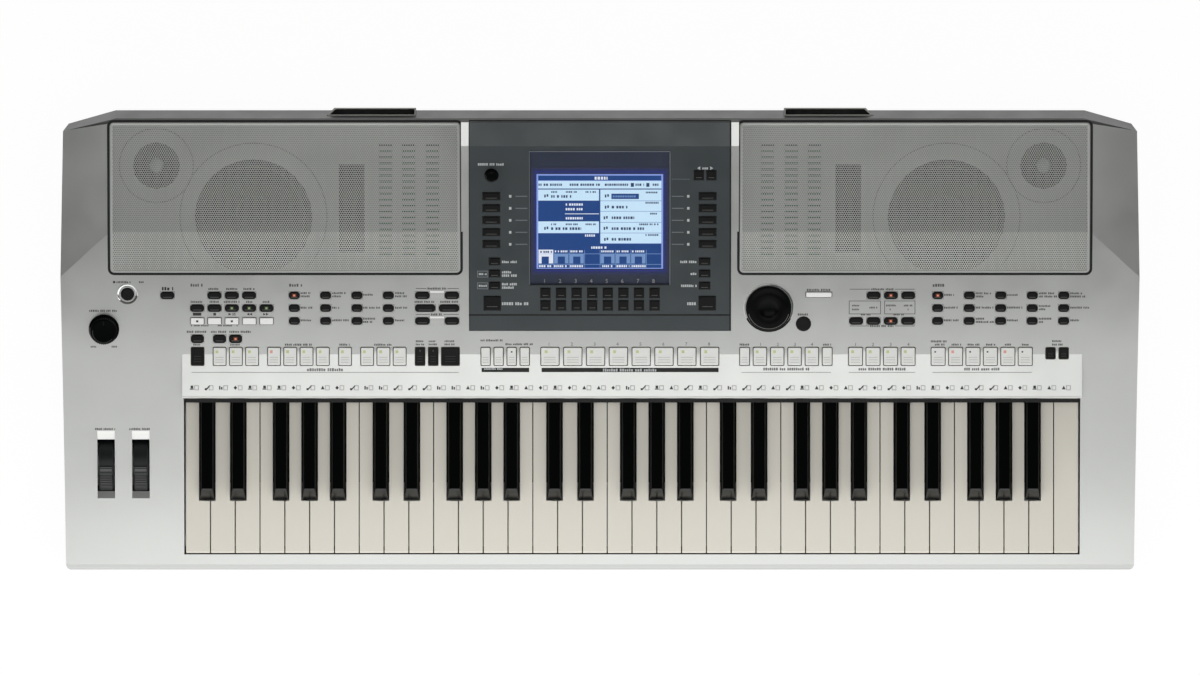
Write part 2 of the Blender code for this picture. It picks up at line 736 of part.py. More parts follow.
def make_white_comb(name, keys, layer):
    """White keys moulded as hollow troughs, open below, on one hinge rod."""
    shells = bmesh.new()
    hollows = bmesh.new()
    tails = bmesh.new()
    bottom = KEY_TOP_Z - WHITE_DEPTH
    notch_y = KEY_FRONT_Y + BLACK_FRONT - KEY_GAP
    ends = []
    for index in keys:
        left, right, back_left, back_right = white_key_span(index)
        points = [(left, KEY_FRONT_Y), (right, KEY_FRONT_Y), (right, notch_y)]
        if right - back_right > 1e-5:
            points.append((back_right, notch_y))
        points += [(back_right, TAIL_Y), (back_left, TAIL_Y)]
        if back_left - left > 1e-5:
            points.append((back_left, notch_y))
        points.append((left, notch_y))
        points = [p for i, p in enumerate(points) if p != points[i - 1]]
        middle = Matrix.Translation((0, 0, KEY_TOP_Z - WHITE_DEPTH / 2))
        plate = outline_mesh(name, points, WHITE_DEPTH, middle)
        shells.from_mesh(plate)
        add_box(
            hollows, (left + KEY_WALL, right - KEY_WALL), (KEY_FRONT_Y + KEY_WALL, notch_y - KEY_WALL),
            (bottom - KEY_WALL, KEY_TOP_Z - KEY_WALL),
        )
        ends += add_tail(tails, (back_left, back_right), layer)
    made = part(name, to_mesh(name, shells), "ivory_key")
    ease_front_edges(made.data)
    boolean(made, cutter(f"{name}_hollows", to_mesh(f"{name}_hollows", hollows)), "DIFFERENCE")
    join_to_rod(made, name, tails, ends, layer)
    return made


def ease_front_edges(mesh):
    """Eases the top front edge of each white key."""
    bm = bmesh.new()
    bm.from_mesh(mesh)
    front = [
        e for e in bm.edges
        if all(abs(v.co.y - KEY_FRONT_Y) < 1e-5 and abs(v.co.z - KEY_TOP_Z) < 1e-5 for v in e.verts)
    ]
    bmesh.ops.bevel(bm, geom=front, offset=KEY_EDGE, segments=1, affect="EDGES")
    bm.to_mesh(mesh)
    bm.free()


def join_to_rod(made, name, tails, ends, layer):
    """Joins a comb's keys to their hinge rod by their tails."""
    along_x = Matrix.Translation((0, hinge_y(layer), HINGE_Z)) @ Matrix.Rotation(math.pi / 2, 4, "Y")
    rod = bmesh.new()
    add_cylinder(rod, HINGE_R, (min(ends), max(ends)), along_x, HINGE_SIDES)
    rod_tool = cutter(f"{name}_rod", to_mesh(f"{name}_rod", rod))
    tail_tool = cutter(f"{name}_tails", to_mesh(f"{name}_tails", tails))
    boolean(tail_tool, rod_tool, "UNION").use_self = True
    boolean(made, tail_tool, "UNION")


def make_black_comb(name, octave):
    """Five black keys with sloped sides and fronts on one hinge rod."""
    keys = bmesh.new()
    tails = bmesh.new()
    ends = []
    front = KEY_FRONT_Y + BLACK_FRONT
    bottom = KEY_TOP_Z - WHITE_DEPTH
    for white in BLACK_OFFSETS:
        x = KEYS_X + octave * 7 * WHITE_PITCH + black_centre(white)
        span = (x - BLACK_W / 2, x + BLACK_W / 2)
        verts = add_box(keys, span, (front, TAIL_Y), (bottom, KEY_TOP_Z))
        top = [f for f in keys.faces if all(v in verts for v in f.verts) and f.normal.z > 0.5]
        lid = bmesh.ops.extrude_face_region(keys, geom=top)["geom"]
        for v in [g for g in lid if isinstance(g, bmesh.types.BMVert)]:
            v.co.x = x + math.copysign(BLACK_TOP_W / 2, v.co.x - x)
            v.co.z = KEY_TOP_Z + BLACK_RISE
            if abs(v.co.y - front) < 1e-5:
                v.co.y += BLACK_SLOPE
        bmesh.ops.delete(keys, geom=top, context="FACES_ONLY")
        ends += add_tail(tails, span, 2)
    made = part(name, to_mesh(name, keys), "black_key")
    join_to_rod(made, name, tails, ends, 2)
    return made


def make_keys():
    for octave in range(OCTAVES):
        first = octave * 7
        outer = [first, first + 2, first + 4, first + 6]
        if octave == OCTAVES - 1:
            outer.append(WHITE_KEYS - 1)
        make_white_comb(f"white_keys_outer_{octave + 1}", outer, 0)
        make_white_comb(f"white_keys_inner_{octave + 1}", [first + 1, first + 3, first + 5], 1)
        make_black_comb(f"black_keys_{octave + 1}", octave)


def make_keybed():
    """A full-width tray with a front stop rail and a cradle of three hinge grooves."""
    base_z = KEYBED_Z
    floor_z = KEYBED_Z + KEYBED_T
    stop_y = KEY_FRONT_Y + 0.006
    cradle_front = hinge_y(0) - HINGE_PITCH / 2
    cradle_back = hinge_y(2) + HINGE_PITCH / 2
    cradle_top = HINGE_Z + 0.0012
    groove_r = HINGE_R + HINGE_PLAY
    points = [(stop_y, base_z), (cradle_back, base_z), (cradle_back, cradle_top)]
    for layer in (2, 1, 0):
        centre = hinge_y(layer)
        reach = math.asin((cradle_top - HINGE_Z) / groove_r)
        for i in range(9):
            angle = reach - (math.pi + 2 * reach) * i / 8
            points.append((centre + groove_r * math.cos(angle), HINGE_Z + groove_r * math.sin(angle)))
    points += [
        (cradle_front, cradle_top), (cradle_front, floor_z), (stop_y + 0.012, floor_z),
        (stop_y + 0.012, floor_z + 0.004), (stop_y, floor_z + 0.004),
    ]
    part("keybed_frame", side_profile("keybed_frame", points, BAY_X[0], BAY_X[1]), "steel")
    board_z = floor_z + 0.0015
    board = boxes("key_contact_board", [(
        (KEYS_X, KEYS_END_X), (stop_y + 0.060, TAIL_Y - 0.010), (board_z, board_z + BOARD_T),
    )])
    part("key_contact_board", board, "circuit_board")


def woofer_frame(side):
    """Axes of a woofer, square to the line that its flange spans under the crease."""
    y0, y1 = WOOFER_Y - WOOFER_R, WOOFER_Y + WOOFER_R
    tilt = math.atan2(side_z(y1) - side_z(y0), y1 - y0)
    under = TRAY_DEPTH + TRAY_FLOOR
    z = (side_z(y0) + side_z(y1)) / 2 - under
    return Matrix.Translation((side * WOOFER_X, WOOFER_Y, z)) @ Matrix.Rotation(tilt, 4, "X")


def tweeter_frame(side):
    z = side_z(TWEETER_Y) - (TRAY_DEPTH + TRAY_FLOOR)
    place = Matrix.Translation((side * TWEETER_X, TWEETER_Y, z))
    return place @ Matrix.Rotation(BACK_TILT, 4, "X")


def make_speakers():
    for side, hand in ((-1, "left"), (1, "right")):
        cone = WOOFER_CONE_R
        profile = [
            (0, -0.015), (cone * 0.26, -0.022), (cone * 0.82, -0.006), (cone * 0.90, -0.0035),
            (cone, -GAP), (WOOFER_R, -GAP), (WOOFER_R, -0.0036), (cone * 0.62, -0.030),
            (WOOFER_MAGNET_R, -0.030), (WOOFER_MAGNET_R, -0.050), (0, -0.050),
        ]
        turned(f"{hand}_woofer", profile, 20, woofer_frame(side), "speaker_paper")
        dome = TWEETER_CONE_R
        profile = [
            (0, -0.0030), (dome * 0.32, -0.0070), (dome * 0.90, -0.0020), (dome, -GAP),
            (TWEETER_R, -GAP), (TWEETER_R, -0.0035), (TWEETER_MAGNET_R, -0.014),
            (TWEETER_MAGNET_R, -0.026), (0, -0.026),
        ]
        turned(f"{hand}_tweeter", profile, 16, tweeter_frame(side), "speaker_paper")
        x = sorted((side * (GRILLE_IN_X + GAP), side * (GRILLE_OUT_X - GAP)))
        y = (GRILLE_FRONT_Y + GAP, GRILLE_REAR_Y - GAP)
        grille = slab(f"{hand}_speaker_grille", side_z, [CREASE_Y], x, y, -PLATE_T, 0.0, GRILLE_R)
        part(f"{hand}_speaker_grille", grille, "grille_mesh")


def ledge_ends():
    """The ledge laps the key bay's sides, and reaches past the buttons that stand on it."""
    beyond = RUNNER_MARGIN + BAY_SKIRT + GAP
    spans = [s for tops in ledge_strips().values() for s in keytop_spans(tops, 0.0, beyond)]
    left, right = bounds_of(spans)[0]
    return min(BAY_X[0] - LEDGE_SIDE, left), max(BAY_X[1] + LEDGE_SIDE, right)


def casing_hollow():
    """The space under the upper case: its inner form less what stands into it."""
    hollow = cutter("casing_hollow", casing_solid("casing_hollow", WALL, SEAM_LAP))
    left, right = ledge_ends()
    ledge = boxes("ledge_hollow", [(
        (left + BAY_SKIRT, right - BAY_SKIRT),
        (LEDGE_FRONT_Y + BAY_SKIRT, LEDGE_REAR_Y + WALL), (LEDGE_UNDER_Z, LEDGE_Z - WALL),
    )])
    boolean(hollow, cutter("ledge_hollow", ledge), "UNION")
    start_y = CREASE_Y - WALL
    low = side_z(CREASE_Y) - 8 * WALL
    block = [
        (start_y, low), (RIDGE_Y - WALL, low), (RIDGE_Y - WALL, centre_z(RIDGE_Y) - WALL),
        (CENTRE_CREASE_Y, centre_z(CENTRE_CREASE_Y) - WALL / math.cos(TOP_TILT)),
        (start_y, panel_z(start_y) - WALL / math.cos(PANEL_TILT)),
    ]
    half = CENTRE_HALF - WALL
    boolean(hollow, cutter("block_hollow", side_profile("block_hollow", block, -half, half)), "UNION")
    for side, hand in ((-1, "left"), (1, "right")):
        x = sorted((side * (GRILLE_IN_X - TRAY_RIM), side * (GRILLE_OUT_X + TRAY_RIM)))
        y = (GRILLE_FRONT_Y - TRAY_RIM, GRILLE_REAR_Y)
        under = TRAY_DEPTH + TRAY_FLOOR
        tray = slab(f"{hand}_tray", side_z, [CREASE_Y], x, y, -under, WALL)
        boolean(hollow, cutter(f"{hand}_tray", tray), "DIFFERENCE")
        seat = bmesh.new()
        add_cylinder(seat, WOOFER_R + WOOFER_SEAT, (0.0, WOOFER_SEAT_H), woofer_frame(side), 24)
        seat_tool = cutter(f"{hand}_woofer_seat", to_mesh(f"{hand}_woofer_seat", seat))
        boolean(hollow, seat_tool, "DIFFERENCE")
    bay = boxes("bay_skirt", [(
        (BAY_X[0] - BAY_SKIRT, BAY_X[1] + BAY_SKIRT),
        (KEY_FRONT_Y - BAY_FRONT - BAY_SKIRT, LEDGE_FRONT_Y + BAY_SKIRT), (0.0, ABOVE_Z),
    )])
    boolean(hollow, cutter("bay_skirt", bay), "DIFFERENCE")
    return hollow


def make_upper_case():
    """The moulded top: faceted casing, ledge, centre block, speaker trays and every hole."""
    case = part("upper_case", casing_solid("upper_case", 0.0, 0.0), "silver_paint")
    ledge = boxes("ledge_block", [(
        ledge_ends(), (LEDGE_FRONT_Y, LEDGE_REAR_Y + 0.002), (LEDGE_UNDER_Z, LEDGE_Z),
    )])
    boolean(case, cutter("ledge_block", ledge), "UNION")
    low = side_z(CREASE_Y) - 7 * WALL
    block = [
        (CREASE_Y, low), (RIDGE_Y + 0.001, low), (RIDGE_Y, centre_z(RIDGE_Y)),
        (CENTRE_CREASE_Y, centre_z(CENTRE_CREASE_Y)), (CREASE_Y, panel_z(CREASE_Y)),
    ]
    block_tool = cutter("centre_block", side_profile("centre_block", block, -CENTRE_HALF, CENTRE_HALF))
    boolean(case, block_tool, "UNION")
    boolean(case, casing_hollow(), "DIFFERENCE")
    bay = boxes("key_bay", [(BAY_X, (KEY_FRONT_Y - BAY_FRONT, LEDGE_FRONT_Y), (FOOT_H, ABOVE_Z))])
    boolean(case, cutter("key_bay", bay), "DIFFERENCE")
    under = boxes("under_ledge", [(
        BAY_X, (LEDGE_FRONT_Y - 0.001, LEDGE_FRONT_Y + 0.010), (FOOT_H, LEDGE_Z - LEDGE_SKIRT),
    )])
    boolean(case, cutter("under_ledge", under), "DIFFERENCE")
    cut_speaker_openings(case)
    cut_centre_opening(case)
    cut_wheel_slots(case)
    cut_rear(case)
    round_holes = bmesh.new()
    for x, y, radius, sides in (
        (VOLUME[0], VOLUME[1], SHAFT_R + SHAFT_CLEARANCE, 12),
        (POWER[0], POWER[1], POWER[2] + TOP_CLEARANCE, BUTTON_SIDES),
        (DIAL[0], DIAL[1], SHAFT_R + SHAFT_CLEARANCE, 12),
        (ENTER[0], ENTER[1], ENTER[2] + TOP_CLEARANCE, BUTTON_SIDES),
    ):
        add_cylinder(round_holes, radius, (-3 * WALL, 2 * WALL), on_panel(x, y), sides)
    boolean(case, cutter("round_holes", to_mesh("round_holes", round_holes)), "DIFFERENCE")
    boolean(case, strip_holes("panel_button_holes", panel_strips(), PANEL_TILT), "DIFFERENCE")
    boolean(case, strip_holes("ledge_button_holes", ledge_strips(), 0.0), "DIFFERENCE")
    return case


def cut_speaker_openings(case):
    for side, hand in ((-1, "left"), (1, "right")):
        x = sorted((side * GRILLE_IN_X, side * GRILLE_OUT_X))
        y = (GRILLE_FRONT_Y, GRILLE_REAR_Y)
        seat = slab(f"{hand}_grille_seat", side_z, [CREASE_Y], x, y, -PLATE_T - GAP, 0.012, GRILLE_R)
        boolean(case, cutter(f"{hand}_grille_seat", seat), "DIFFERENCE")
        inner_x = (x[0] + TRAY_RIM, x[1] - TRAY_RIM)
        inner_y = (y[0] + TRAY_RIM, y[1] - TRAY_RIM)
        pocket = slab(f"{hand}_pocket", side_z, [CREASE_Y], inner_x, inner_y, -TRAY_DEPTH, 0.001)
        boolean(case, cutter(f"{hand}_pocket", pocket), "DIFFERENCE")
        holes = bmesh.new()
        add_cylinder(holes, WOOFER_CONE_R, (-0.002, 0.022), woofer_frame(side), 24)
        add_cylinder(holes, TWEETER_CONE_R, (-0.002, 0.008), tweeter_frame(side), 16)
        low, high = SEAM_Z, ABOVE_Z
        slots = [(PORT_X, PORT_W, PORT_L, PORT_IN)] + [(v, VENT_W, VENT_L, VENT_IN) for v in VENT_X]
        for centre, w, length, nearer in slots:
            middle = (GRILLE_FRONT_Y + GRILLE_REAR_Y) / 2 - nearer
            span = (side * centre - w / 2, side * centre + w / 2)
            add_box(holes, span, (middle - length / 2, middle + length / 2), (low, high))
        shape = cutter(f"{hand}_speaker_holes", to_mesh(f"{hand}_speaker_holes", holes))
        room = slab(f"{hand}_room", side_z, [CREASE_Y], inner_x, inner_y, -0.030, 0.0)
        boolean(shape, cutter(f"{hand}_room", room), "INTERSECT")
        boolean(case, shape, "DIFFERENCE")


def cut_centre_opening(case):
    half = PANEL_HALF + GAP
    y = (PANEL_FRONT_Y - GAP, GRILLE_REAR_Y + GAP)
    seat = slab("panel_seat", centre_z, [CENTRE_CREASE_Y], (-half, half), y, -PLATE_T - GAP, 0.012)
    boolean(case, cutter("panel_seat", seat), "DIFFERENCE")
    rim = 0.004
    inner = (y[0] + rim, y[1] - rim)
    room = slab(
        "panel_room", centre_z, [CENTRE_CREASE_Y], (-half + rim, half - rim), inner, -0.012, 0.001
    )
    boolean(case, cutter("panel_room", room), "DIFFERENCE")


def wheel_centre_z():
    return cheek_z(WHEEL_Y) + WHEEL_PROUD - WHEEL_R


def cut_wheel_slots(case):
    """Each slot's two ends fall away in a ramp towards its wheel."""
    z = cheek_z(WHEEL_Y)
    half = SLOT_L / 2
    slope = (cheek_z(WHEEL_Y + half) - cheek_z(WHEEL_Y - half)) / SLOT_L

    def on_ramp(side, reach, rise):
        return WHEEL_Y + side * reach, z + side * reach * slope + rise

    beyond = half + 2 * SLOT_RAMP
    points = [
        (WHEEL_Y - half, z - WHEEL_R), (WHEEL_Y + half, z - WHEEL_R),
        on_ramp(1, half, -SLOT_DROP), on_ramp(1, beyond, SLOT_DROP),
        on_ramp(-1, beyond, SLOT_DROP), on_ramp(-1, half, -SLOT_DROP),
    ]
    for name, x in zip(("pitch_slot", "modulation_slot"), WHEEL_X):
        shape = side_profile(name, points, x - SLOT_W / 2, x + SLOT_W / 2)
        slot = cutter(name, shape)
        sweep = bmesh.new()
        turn = Matrix.Translation((x, WHEEL_Y, wheel_centre_z())) @ Matrix.Rotation(math.pi / 2, 4, "Y")
        add_cylinder(sweep, WHEEL_R + SLOT_PLAY, (-SLOT_W / 2, SLOT_W / 2), turn, SLOT_SIDES)
        boolean(case, slot, "DIFFERENCE")
        boolean(case, cutter(f"{name}_sweep", to_mesh(f"{name}_sweep", sweep)), "DIFFERENCE")


def rest_outline(side, grow):
    """Plan of a music rest socket; its outer end is slanted."""
    inner = side * (REST_X - REST_W / 2 - grow)
    outer = side * (REST_X + REST_W / 2 + grow)
    back = REAR_Y + SOCKET_PROUD + grow
    front = back - REST_DEPTH - 2 * grow
    points = [(inner, front), (outer, front), (outer - side * REST_SLANT, back), (inner, back)]
    return points if side > 0 else list(reversed(points))


def rest_height():
    top = side_z(RIDGE_Y) - REST_TOP
    return top - REST_H, top


def cut_rear(case):
    """Groove along the ridge, music rest notches, the jack bay and the headphone hole."""
    y = (GRILLE_REAR_Y - GAP, GRILLE_REAR_Y + RIDGE_GROOVE)
    z = (side_z(GRILLE_REAR_Y) - RIDGE_GROOVE, ABOVE_Z)
    ends = (CENTRE_HALF + 0.001, GRILLE_OUT_X)
    groove = boxes("ridge_groove", [((-ends[1], -ends[0]), y, z), (ends, y, z)])
    boolean(case, cutter("ridge_groove", groove), "DIFFERENCE")
    low = rest_height()[0]
    for side, hand in ((-1, "left"), (1, "right")):
        depth = ABOVE_Z - low + GAP
        middle = Matrix.Translation((0, 0, (ABOVE_Z + low - GAP) / 2))
        shape = outline_mesh(f"{hand}_rest_notch", rest_outline(side, GAP), depth, middle)
        boolean(case, cutter(f"{hand}_rest_notch", shape), "DIFFERENCE")
    jack = boxes("jack_bay", [((-JACK_HALF, JACK_HALF), (REAR_Y - 0.020, REAR_Y + 0.010), JACK_Z)])
    boolean(case, cutter("jack_bay", jack), "DIFFERENCE")
    hole = bmesh.new()
    forward = Matrix.Translation((PHONES_X, FRONT_Y, PHONES_Z)) @ Matrix.Rotation(-math.pi / 2, 4, "X")
    add_cylinder(hole, PHONES_NOSE_R + GAP, (-WALL, 3 * WALL), forward, 12)
    boolean(case, cutter("phones_hole", to_mesh("phones_hole", hole)), "DIFFERENCE")


def make_power_ring(case):
    """The raised ring round the power button, part of the upper case."""
    inner = POWER[2] + TOP_CLEARANCE
    profile = [
        (POWER_RING_R * 0.84, 0.0014), (POWER_RING_R, 0.0), (POWER_RING_R, -0.0012),
        (inner + 0.0001, -0.0012), (inner + 0.0001, 0.0014), (POWER_RING_R * 0.84, 0.0014),
    ]
    ring = turned("power_ring", profile, BUTTON_SIDES, on_panel(POWER[0], POWER[1]))
    boolean(case, ring, "UNION")


def make_centre_panel():
    panel = slab(
        "center_panel", centre_z, [CENTRE_CREASE_Y], (-PANEL_HALF, PANEL_HALF),
        (PANEL_FRONT_Y, GRILLE_REAR_Y), -PLATE_T, 0.0,
    )
    panel = part("center_panel", panel, "dark_panel")
    window = panel_block("window_hole", WINDOW_HALF, WINDOW_Y, GAP, (-0.010, 0.010))
    boolean(panel, cutter("window_hole", window), "DIFFERENCE")
    boolean(panel, strip_holes("centre_button_holes", centre_strips(), PANEL_TILT), "DIFFERENCE")
    hole = bmesh.new()
    add_cylinder(hole, SHAFT_R + SHAFT_CLEARANCE, (-0.010, 0.010), on_panel(*CONTRAST[:2]), 12)
    boolean(panel, cutter("contrast_hole", to_mesh("contrast_hole", hole)), "DIFFERENCE")
    line_y = PANEL_FRONT_Y + 0.0143
    groove = boxes("panel_line", [(
        (-PANEL_HALF - 0.001, PANEL_HALF + 0.001), (line_y, line_y + 0.0010),
        (centre_z(line_y) - 0.0008, centre_z(line_y) + 0.010),
    )])
    boolean(panel, cutter("panel_line", groove), "DIFFERENCE")


def panel_block(name, half, y, grow, depth):
    """A block square to the panel, half wide each way and between two places up the slope."""
    up = [(edge - LEDGE_REAR_Y) / math.cos(PANEL_TILT) for edge in y]
    row = ((-half - grow, half + grow), (up[0] - grow, up[1] + grow), depth)
    return boxes(name, [row], panel_frame())


def make_display():
    """The clear window rests on the display module's rim; the module's face is set back."""
    window = panel_block("lcd_window", WINDOW_HALF, WINDOW_Y, 0.0, (-PLATE_T, 0.0))
    part("lcd_window", window, "clear_window")
    top = -PLATE_T - GAP
    body = panel_block("lcd_module", WINDOW_HALF, WINDOW_Y, LCD_MARGIN, (top - LCD_T, top))
    module = part("lcd_module", body, "lcd_frame")
    face = panel_block("lcd_face", LCD_HALF, LCD_Y, 0.0, (top - 0.0008, 0.002))
    boolean(module, cutter("lcd_face", face), "DIFFERENCE")


def shaft_profile():
    """A shaft through the panel with a collar below it, as the end of a knob's profile."""
    foot = -(WALL + COLLAR_T)
    return [
        (SHAFT_R, GAP), (SHAFT_R, foot), (COLLAR_R, foot), (COLLAR_R, foot - COLLAR_T),
        (0, foot - COLLAR_T),
    ]


def knob_profile(radius, height, dish):
    """A knob with a dished top, a skirt and a shaft."""
    top_r = radius * 0.83
    return [
        (0, height - dish), (top_r * 0.92, height), (top_r, height - 0.0007),
        (top_r * 1.03, 0.0020), (radius, 0.0014), (radius, GAP),
    ] + shaft_profile()


def dial_profile(radius, height):
    """A low wide dial with a rounded rim and a shaft."""
    return [
        (0, height), (radius * 0.90, height), (radius * 0.98, height - 0.0014), (radius, GAP),
    ] + shaft_profile()


def button_profile(radius, rise):
    """A round button with a flange that stays under the panel."""
    flange = radius + RUNNER_MARGIN
    return [
        (0, rise), (radius - 0.0005, rise), (radius, rise - 0.0005), (radius, RUNNER_TOP),
        (flange, RUNNER_TOP), (flange, RUNNER_TOP - RUNNER_T), (0, RUNNER_TOP - RUNNER_T),
    ]


def make_round_controls():
    volume = knob_profile(VOLUME[2], VOLUME[3], 0.0004)
    turned("volume_knob", volume, 20, on_panel(*VOLUME[:2]), "black_plastic")
    contrast = knob_profile(CONTRAST[2], CONTRAST[3], 0.0002)
    turned("contrast_knob", contrast, 12, on_panel(*CONTRAST[:2]), "black_plastic")
    place = on_panel(*DIAL[:2])
    dial = turned("data_dial", dial_profile(*DIAL[2:]), 24, place, "black_plastic")
    dish = bmesh.new()
    centre = place @ Matrix.Translation((*DISH_PLACE, DIAL[3] + DISH_R - DISH_DEPTH))
    bmesh.ops.create_uvsphere(dish, u_segments=12, v_segments=10, radius=DISH_R, matrix=centre)
    boolean(dial, cutter("dial_dish", to_mesh("dial_dish", dish)), "DIFFERENCE")
    for name, (x, y, radius, rise) in (("power_button", POWER), ("enter_button", ENTER)):
        turned(name, button_profile(radius, rise), BUTTON_SIDES, on_panel(x, y), "black_plastic")


def wheel_outline():
    """A wheel's side outline in (y, z): a finger ridge in front of its top, then grip ribs."""
    low = WHEEL_R - WHEEL_RELIEF
    stops = [(4, low), (6, WHEEL_R), (15, WHEEL_R), (17, low)]
    stops += [(20 + 3 * i, low - WHEEL_RELIEF * (i % 2)) for i in range(14)]
    stops += [(degrees, low) for degrees in range(70, 360, 15)]
    return [(-r * math.sin(math.radians(t)), r * math.cos(math.radians(t))) for t, r in stops]


def make_wheels():
    z = wheel_centre_z()
    for name, x in zip(("pitch_bend_wheel", "modulation_wheel"), WHEEL_X):
        mesh = side_profile(name, wheel_outline(), -WHEEL_W / 2, WHEEL_W / 2)
        wheel = part(name, mesh, "black_plastic")
        wheel.location = (x, WHEEL_Y, z)
        bore = bmesh.new()
        turn = Matrix.Translation((x, WHEEL_Y, z)) @ Matrix.Rotation(math.pi / 2, 4, "Y")
        add_cylinder(bore, WHEEL_BORE_R, (-WHEEL_W, WHEEL_W), turn, 8)
        boolean(wheel, cutter(f"{name}_bore", to_mesh(f"{name}_bore", bore)), "DIFFERENCE")
    make_wheel_bracket(z)


def make_wheel_bracket(z):
    """Uprights on a base, with one axle through both wheels."""
    space = WHEEL_W / 2 + AXLE_PLAY
    xs = []
    for x in WHEEL_X:
        xs += [(x - space - BRACKET_T, x - space), (x + space, x + space + BRACKET_T)]
    depth = (WHEEL_Y - 0.008, WHEEL_Y + 0.008)
    rows = [(span, depth, (BRACKET_Z, z + 0.006)) for span in xs]
    uprights = cutter("wheel_uprights", boxes("wheel_uprights", rows))
    base = boxes("wheel_bracket", [(
        (xs[0][0] - 0.004, xs[-1][1] + 0.004), (WHEEL_Y - 0.020, WHEEL_Y + 0.020),
        (BRACKET_Z, BRACKET_Z + BRACKET_T),
    )])
    made = part("wheel_bracket", base, "steel")
    boolean(made, uprights, "UNION")
    axle = bmesh.new()
    turn = Matrix.Translation((0, WHEEL_Y, z)) @ Matrix.Rotation(math.pi / 2, 4, "Y")
    add_cylinder(axle, AXLE_R, (xs[0][0] - 0.001, xs[-1][1] + 0.001), turn, 8)
    boolean(made, cutter("wheel_axle", to_mesh("wheel_axle", axle)), "UNION")


def make_rest_sockets():
    """Upright pockets that the music rest's feet drop into."""
    low, high = rest_height()
    for side, hand in ((-1, "left"), (1, "right")):
        middle = Matrix.Translation((0, 0, (low + high) / 2))
        name = f"{hand}_music_rest_socket"
        body = outline_mesh(name, rest_outline(side, 0.0), high - low, middle)
        socket = part(name, body, "black_plastic")
        lift = Matrix.Translation((0, 0, (low + high) / 2 + REST_WALL))
        room = outline_mesh(f"{name}_slot", rest_outline(side, -REST_WALL), high - low, lift)
        boolean(socket, cutter(f"{name}_slot", room), "DIFFERENCE")


def make_jacks():
    """The rear jack panel, set back in its bay, and the headphone jack in the front."""
    y = (REAR_Y - JACK_RECESS - 0.003, REAR_Y - JACK_RECESS)
    half = JACK_HALF - GAP
    z = (JACK_Z[0] + GAP, JACK_Z[1] - GAP)
    panel = part("rear_jack_panel", boxes("rear_jack_panel", [((-half, half), y, z)]), "black_plastic")
    middle = (z[0] + z[1]) / 2
    holes = bmesh.new()
    for i in range(5):
        x = -half + JACK_PITCH * (i + 0.5)
        turn = Matrix.Translation((x, y[0], middle)) @ Matrix.Rotation(-math.pi / 2, 4, "X")
        add_cylinder(holes, JACK_R, (-WALL, 3 * WALL), turn, 12)
    through = (y[0] - WALL, y[1] + WALL)
    for from_end, half_w, half_h in (USB_B, USB_A):
        x = half - from_end
        add_box(holes, (x - half_w, x + half_w), through, (middle - half_h, middle + half_h))
    boolean(panel, cutter("jack_holes", to_mesh("jack_holes", holes)), "DIFFERENCE")
    half = PHONES_SIZE / 2
    inside = FRONT_Y + WALL + GAP
    body = boxes("phones_jack", [(
        (PHONES_X - half, PHONES_X + half), (inside, inside + PHONES_LENGTH),
        (PHONES_Z - half, PHONES_Z + half),
    )])
    jack = part("phones_jack", body, "black_plastic")
    nose = bmesh.new()
    forward = Matrix.Translation((PHONES_X, FRONT_Y, PHONES_Z)) @ Matrix.Rotation(-math.pi / 2, 4, "X")
    add_cylinder(nose, PHONES_NOSE_R, (0.0005, 2 * WALL), forward, 12)
    boolean(jack, cutter("phones_nose", to_mesh("phones_nose", nose)), "UNION")
    bore = bmesh.new()
    add_cylinder(bore, JACK_R, (-WALL, PHONES_LENGTH - WALL), forward, 12)
    boolean(jack, cutter("phones_bore", to_mesh("phones_bore", bore)), "DIFFERENCE")


def plan_outline(inset):
    """The casing seen from above, counter-clockwise, with rounded front corners."""
    out_x = CASE_W / 2
    rear_x = out_x - REAR_NARROW
    front_x = out_x - FRONT_NARROW
    right = [
        (out_x, WIDE_Y),
        (rear_x, REAR_Y - REAR_CHAMFER_D - REAR_CORNER_D),
        (rear_x - REAR_CORNER_W, REAR_Y - REAR_CHAMFER_D),
        (rear_x - REAR_CORNER_W - REAR_CHAMFER_W, REAR_Y),
    ]
    sharp = [(-front_x, FRONT_Y), (front_x, FRONT_Y)] + right + [(-x, y) for x, y in reversed(right)]
    sharp = inset_outline(sharp, [inset] * len(sharp))
    radius = max(CORNER_R - inset, 0.001)
    corners = []
    for (x, y), start in zip(sharp[:2], (180, 270)):
        centre = (x - math.copysign(radius, x), y + radius)
        for i in range(4):
            angle = math.radians(start + 30 * i)
            corners.append((centre[0] + radius * math.cos(angle), centre[1] + radius * math.sin(angle)))
    return corners + sharp[2:]


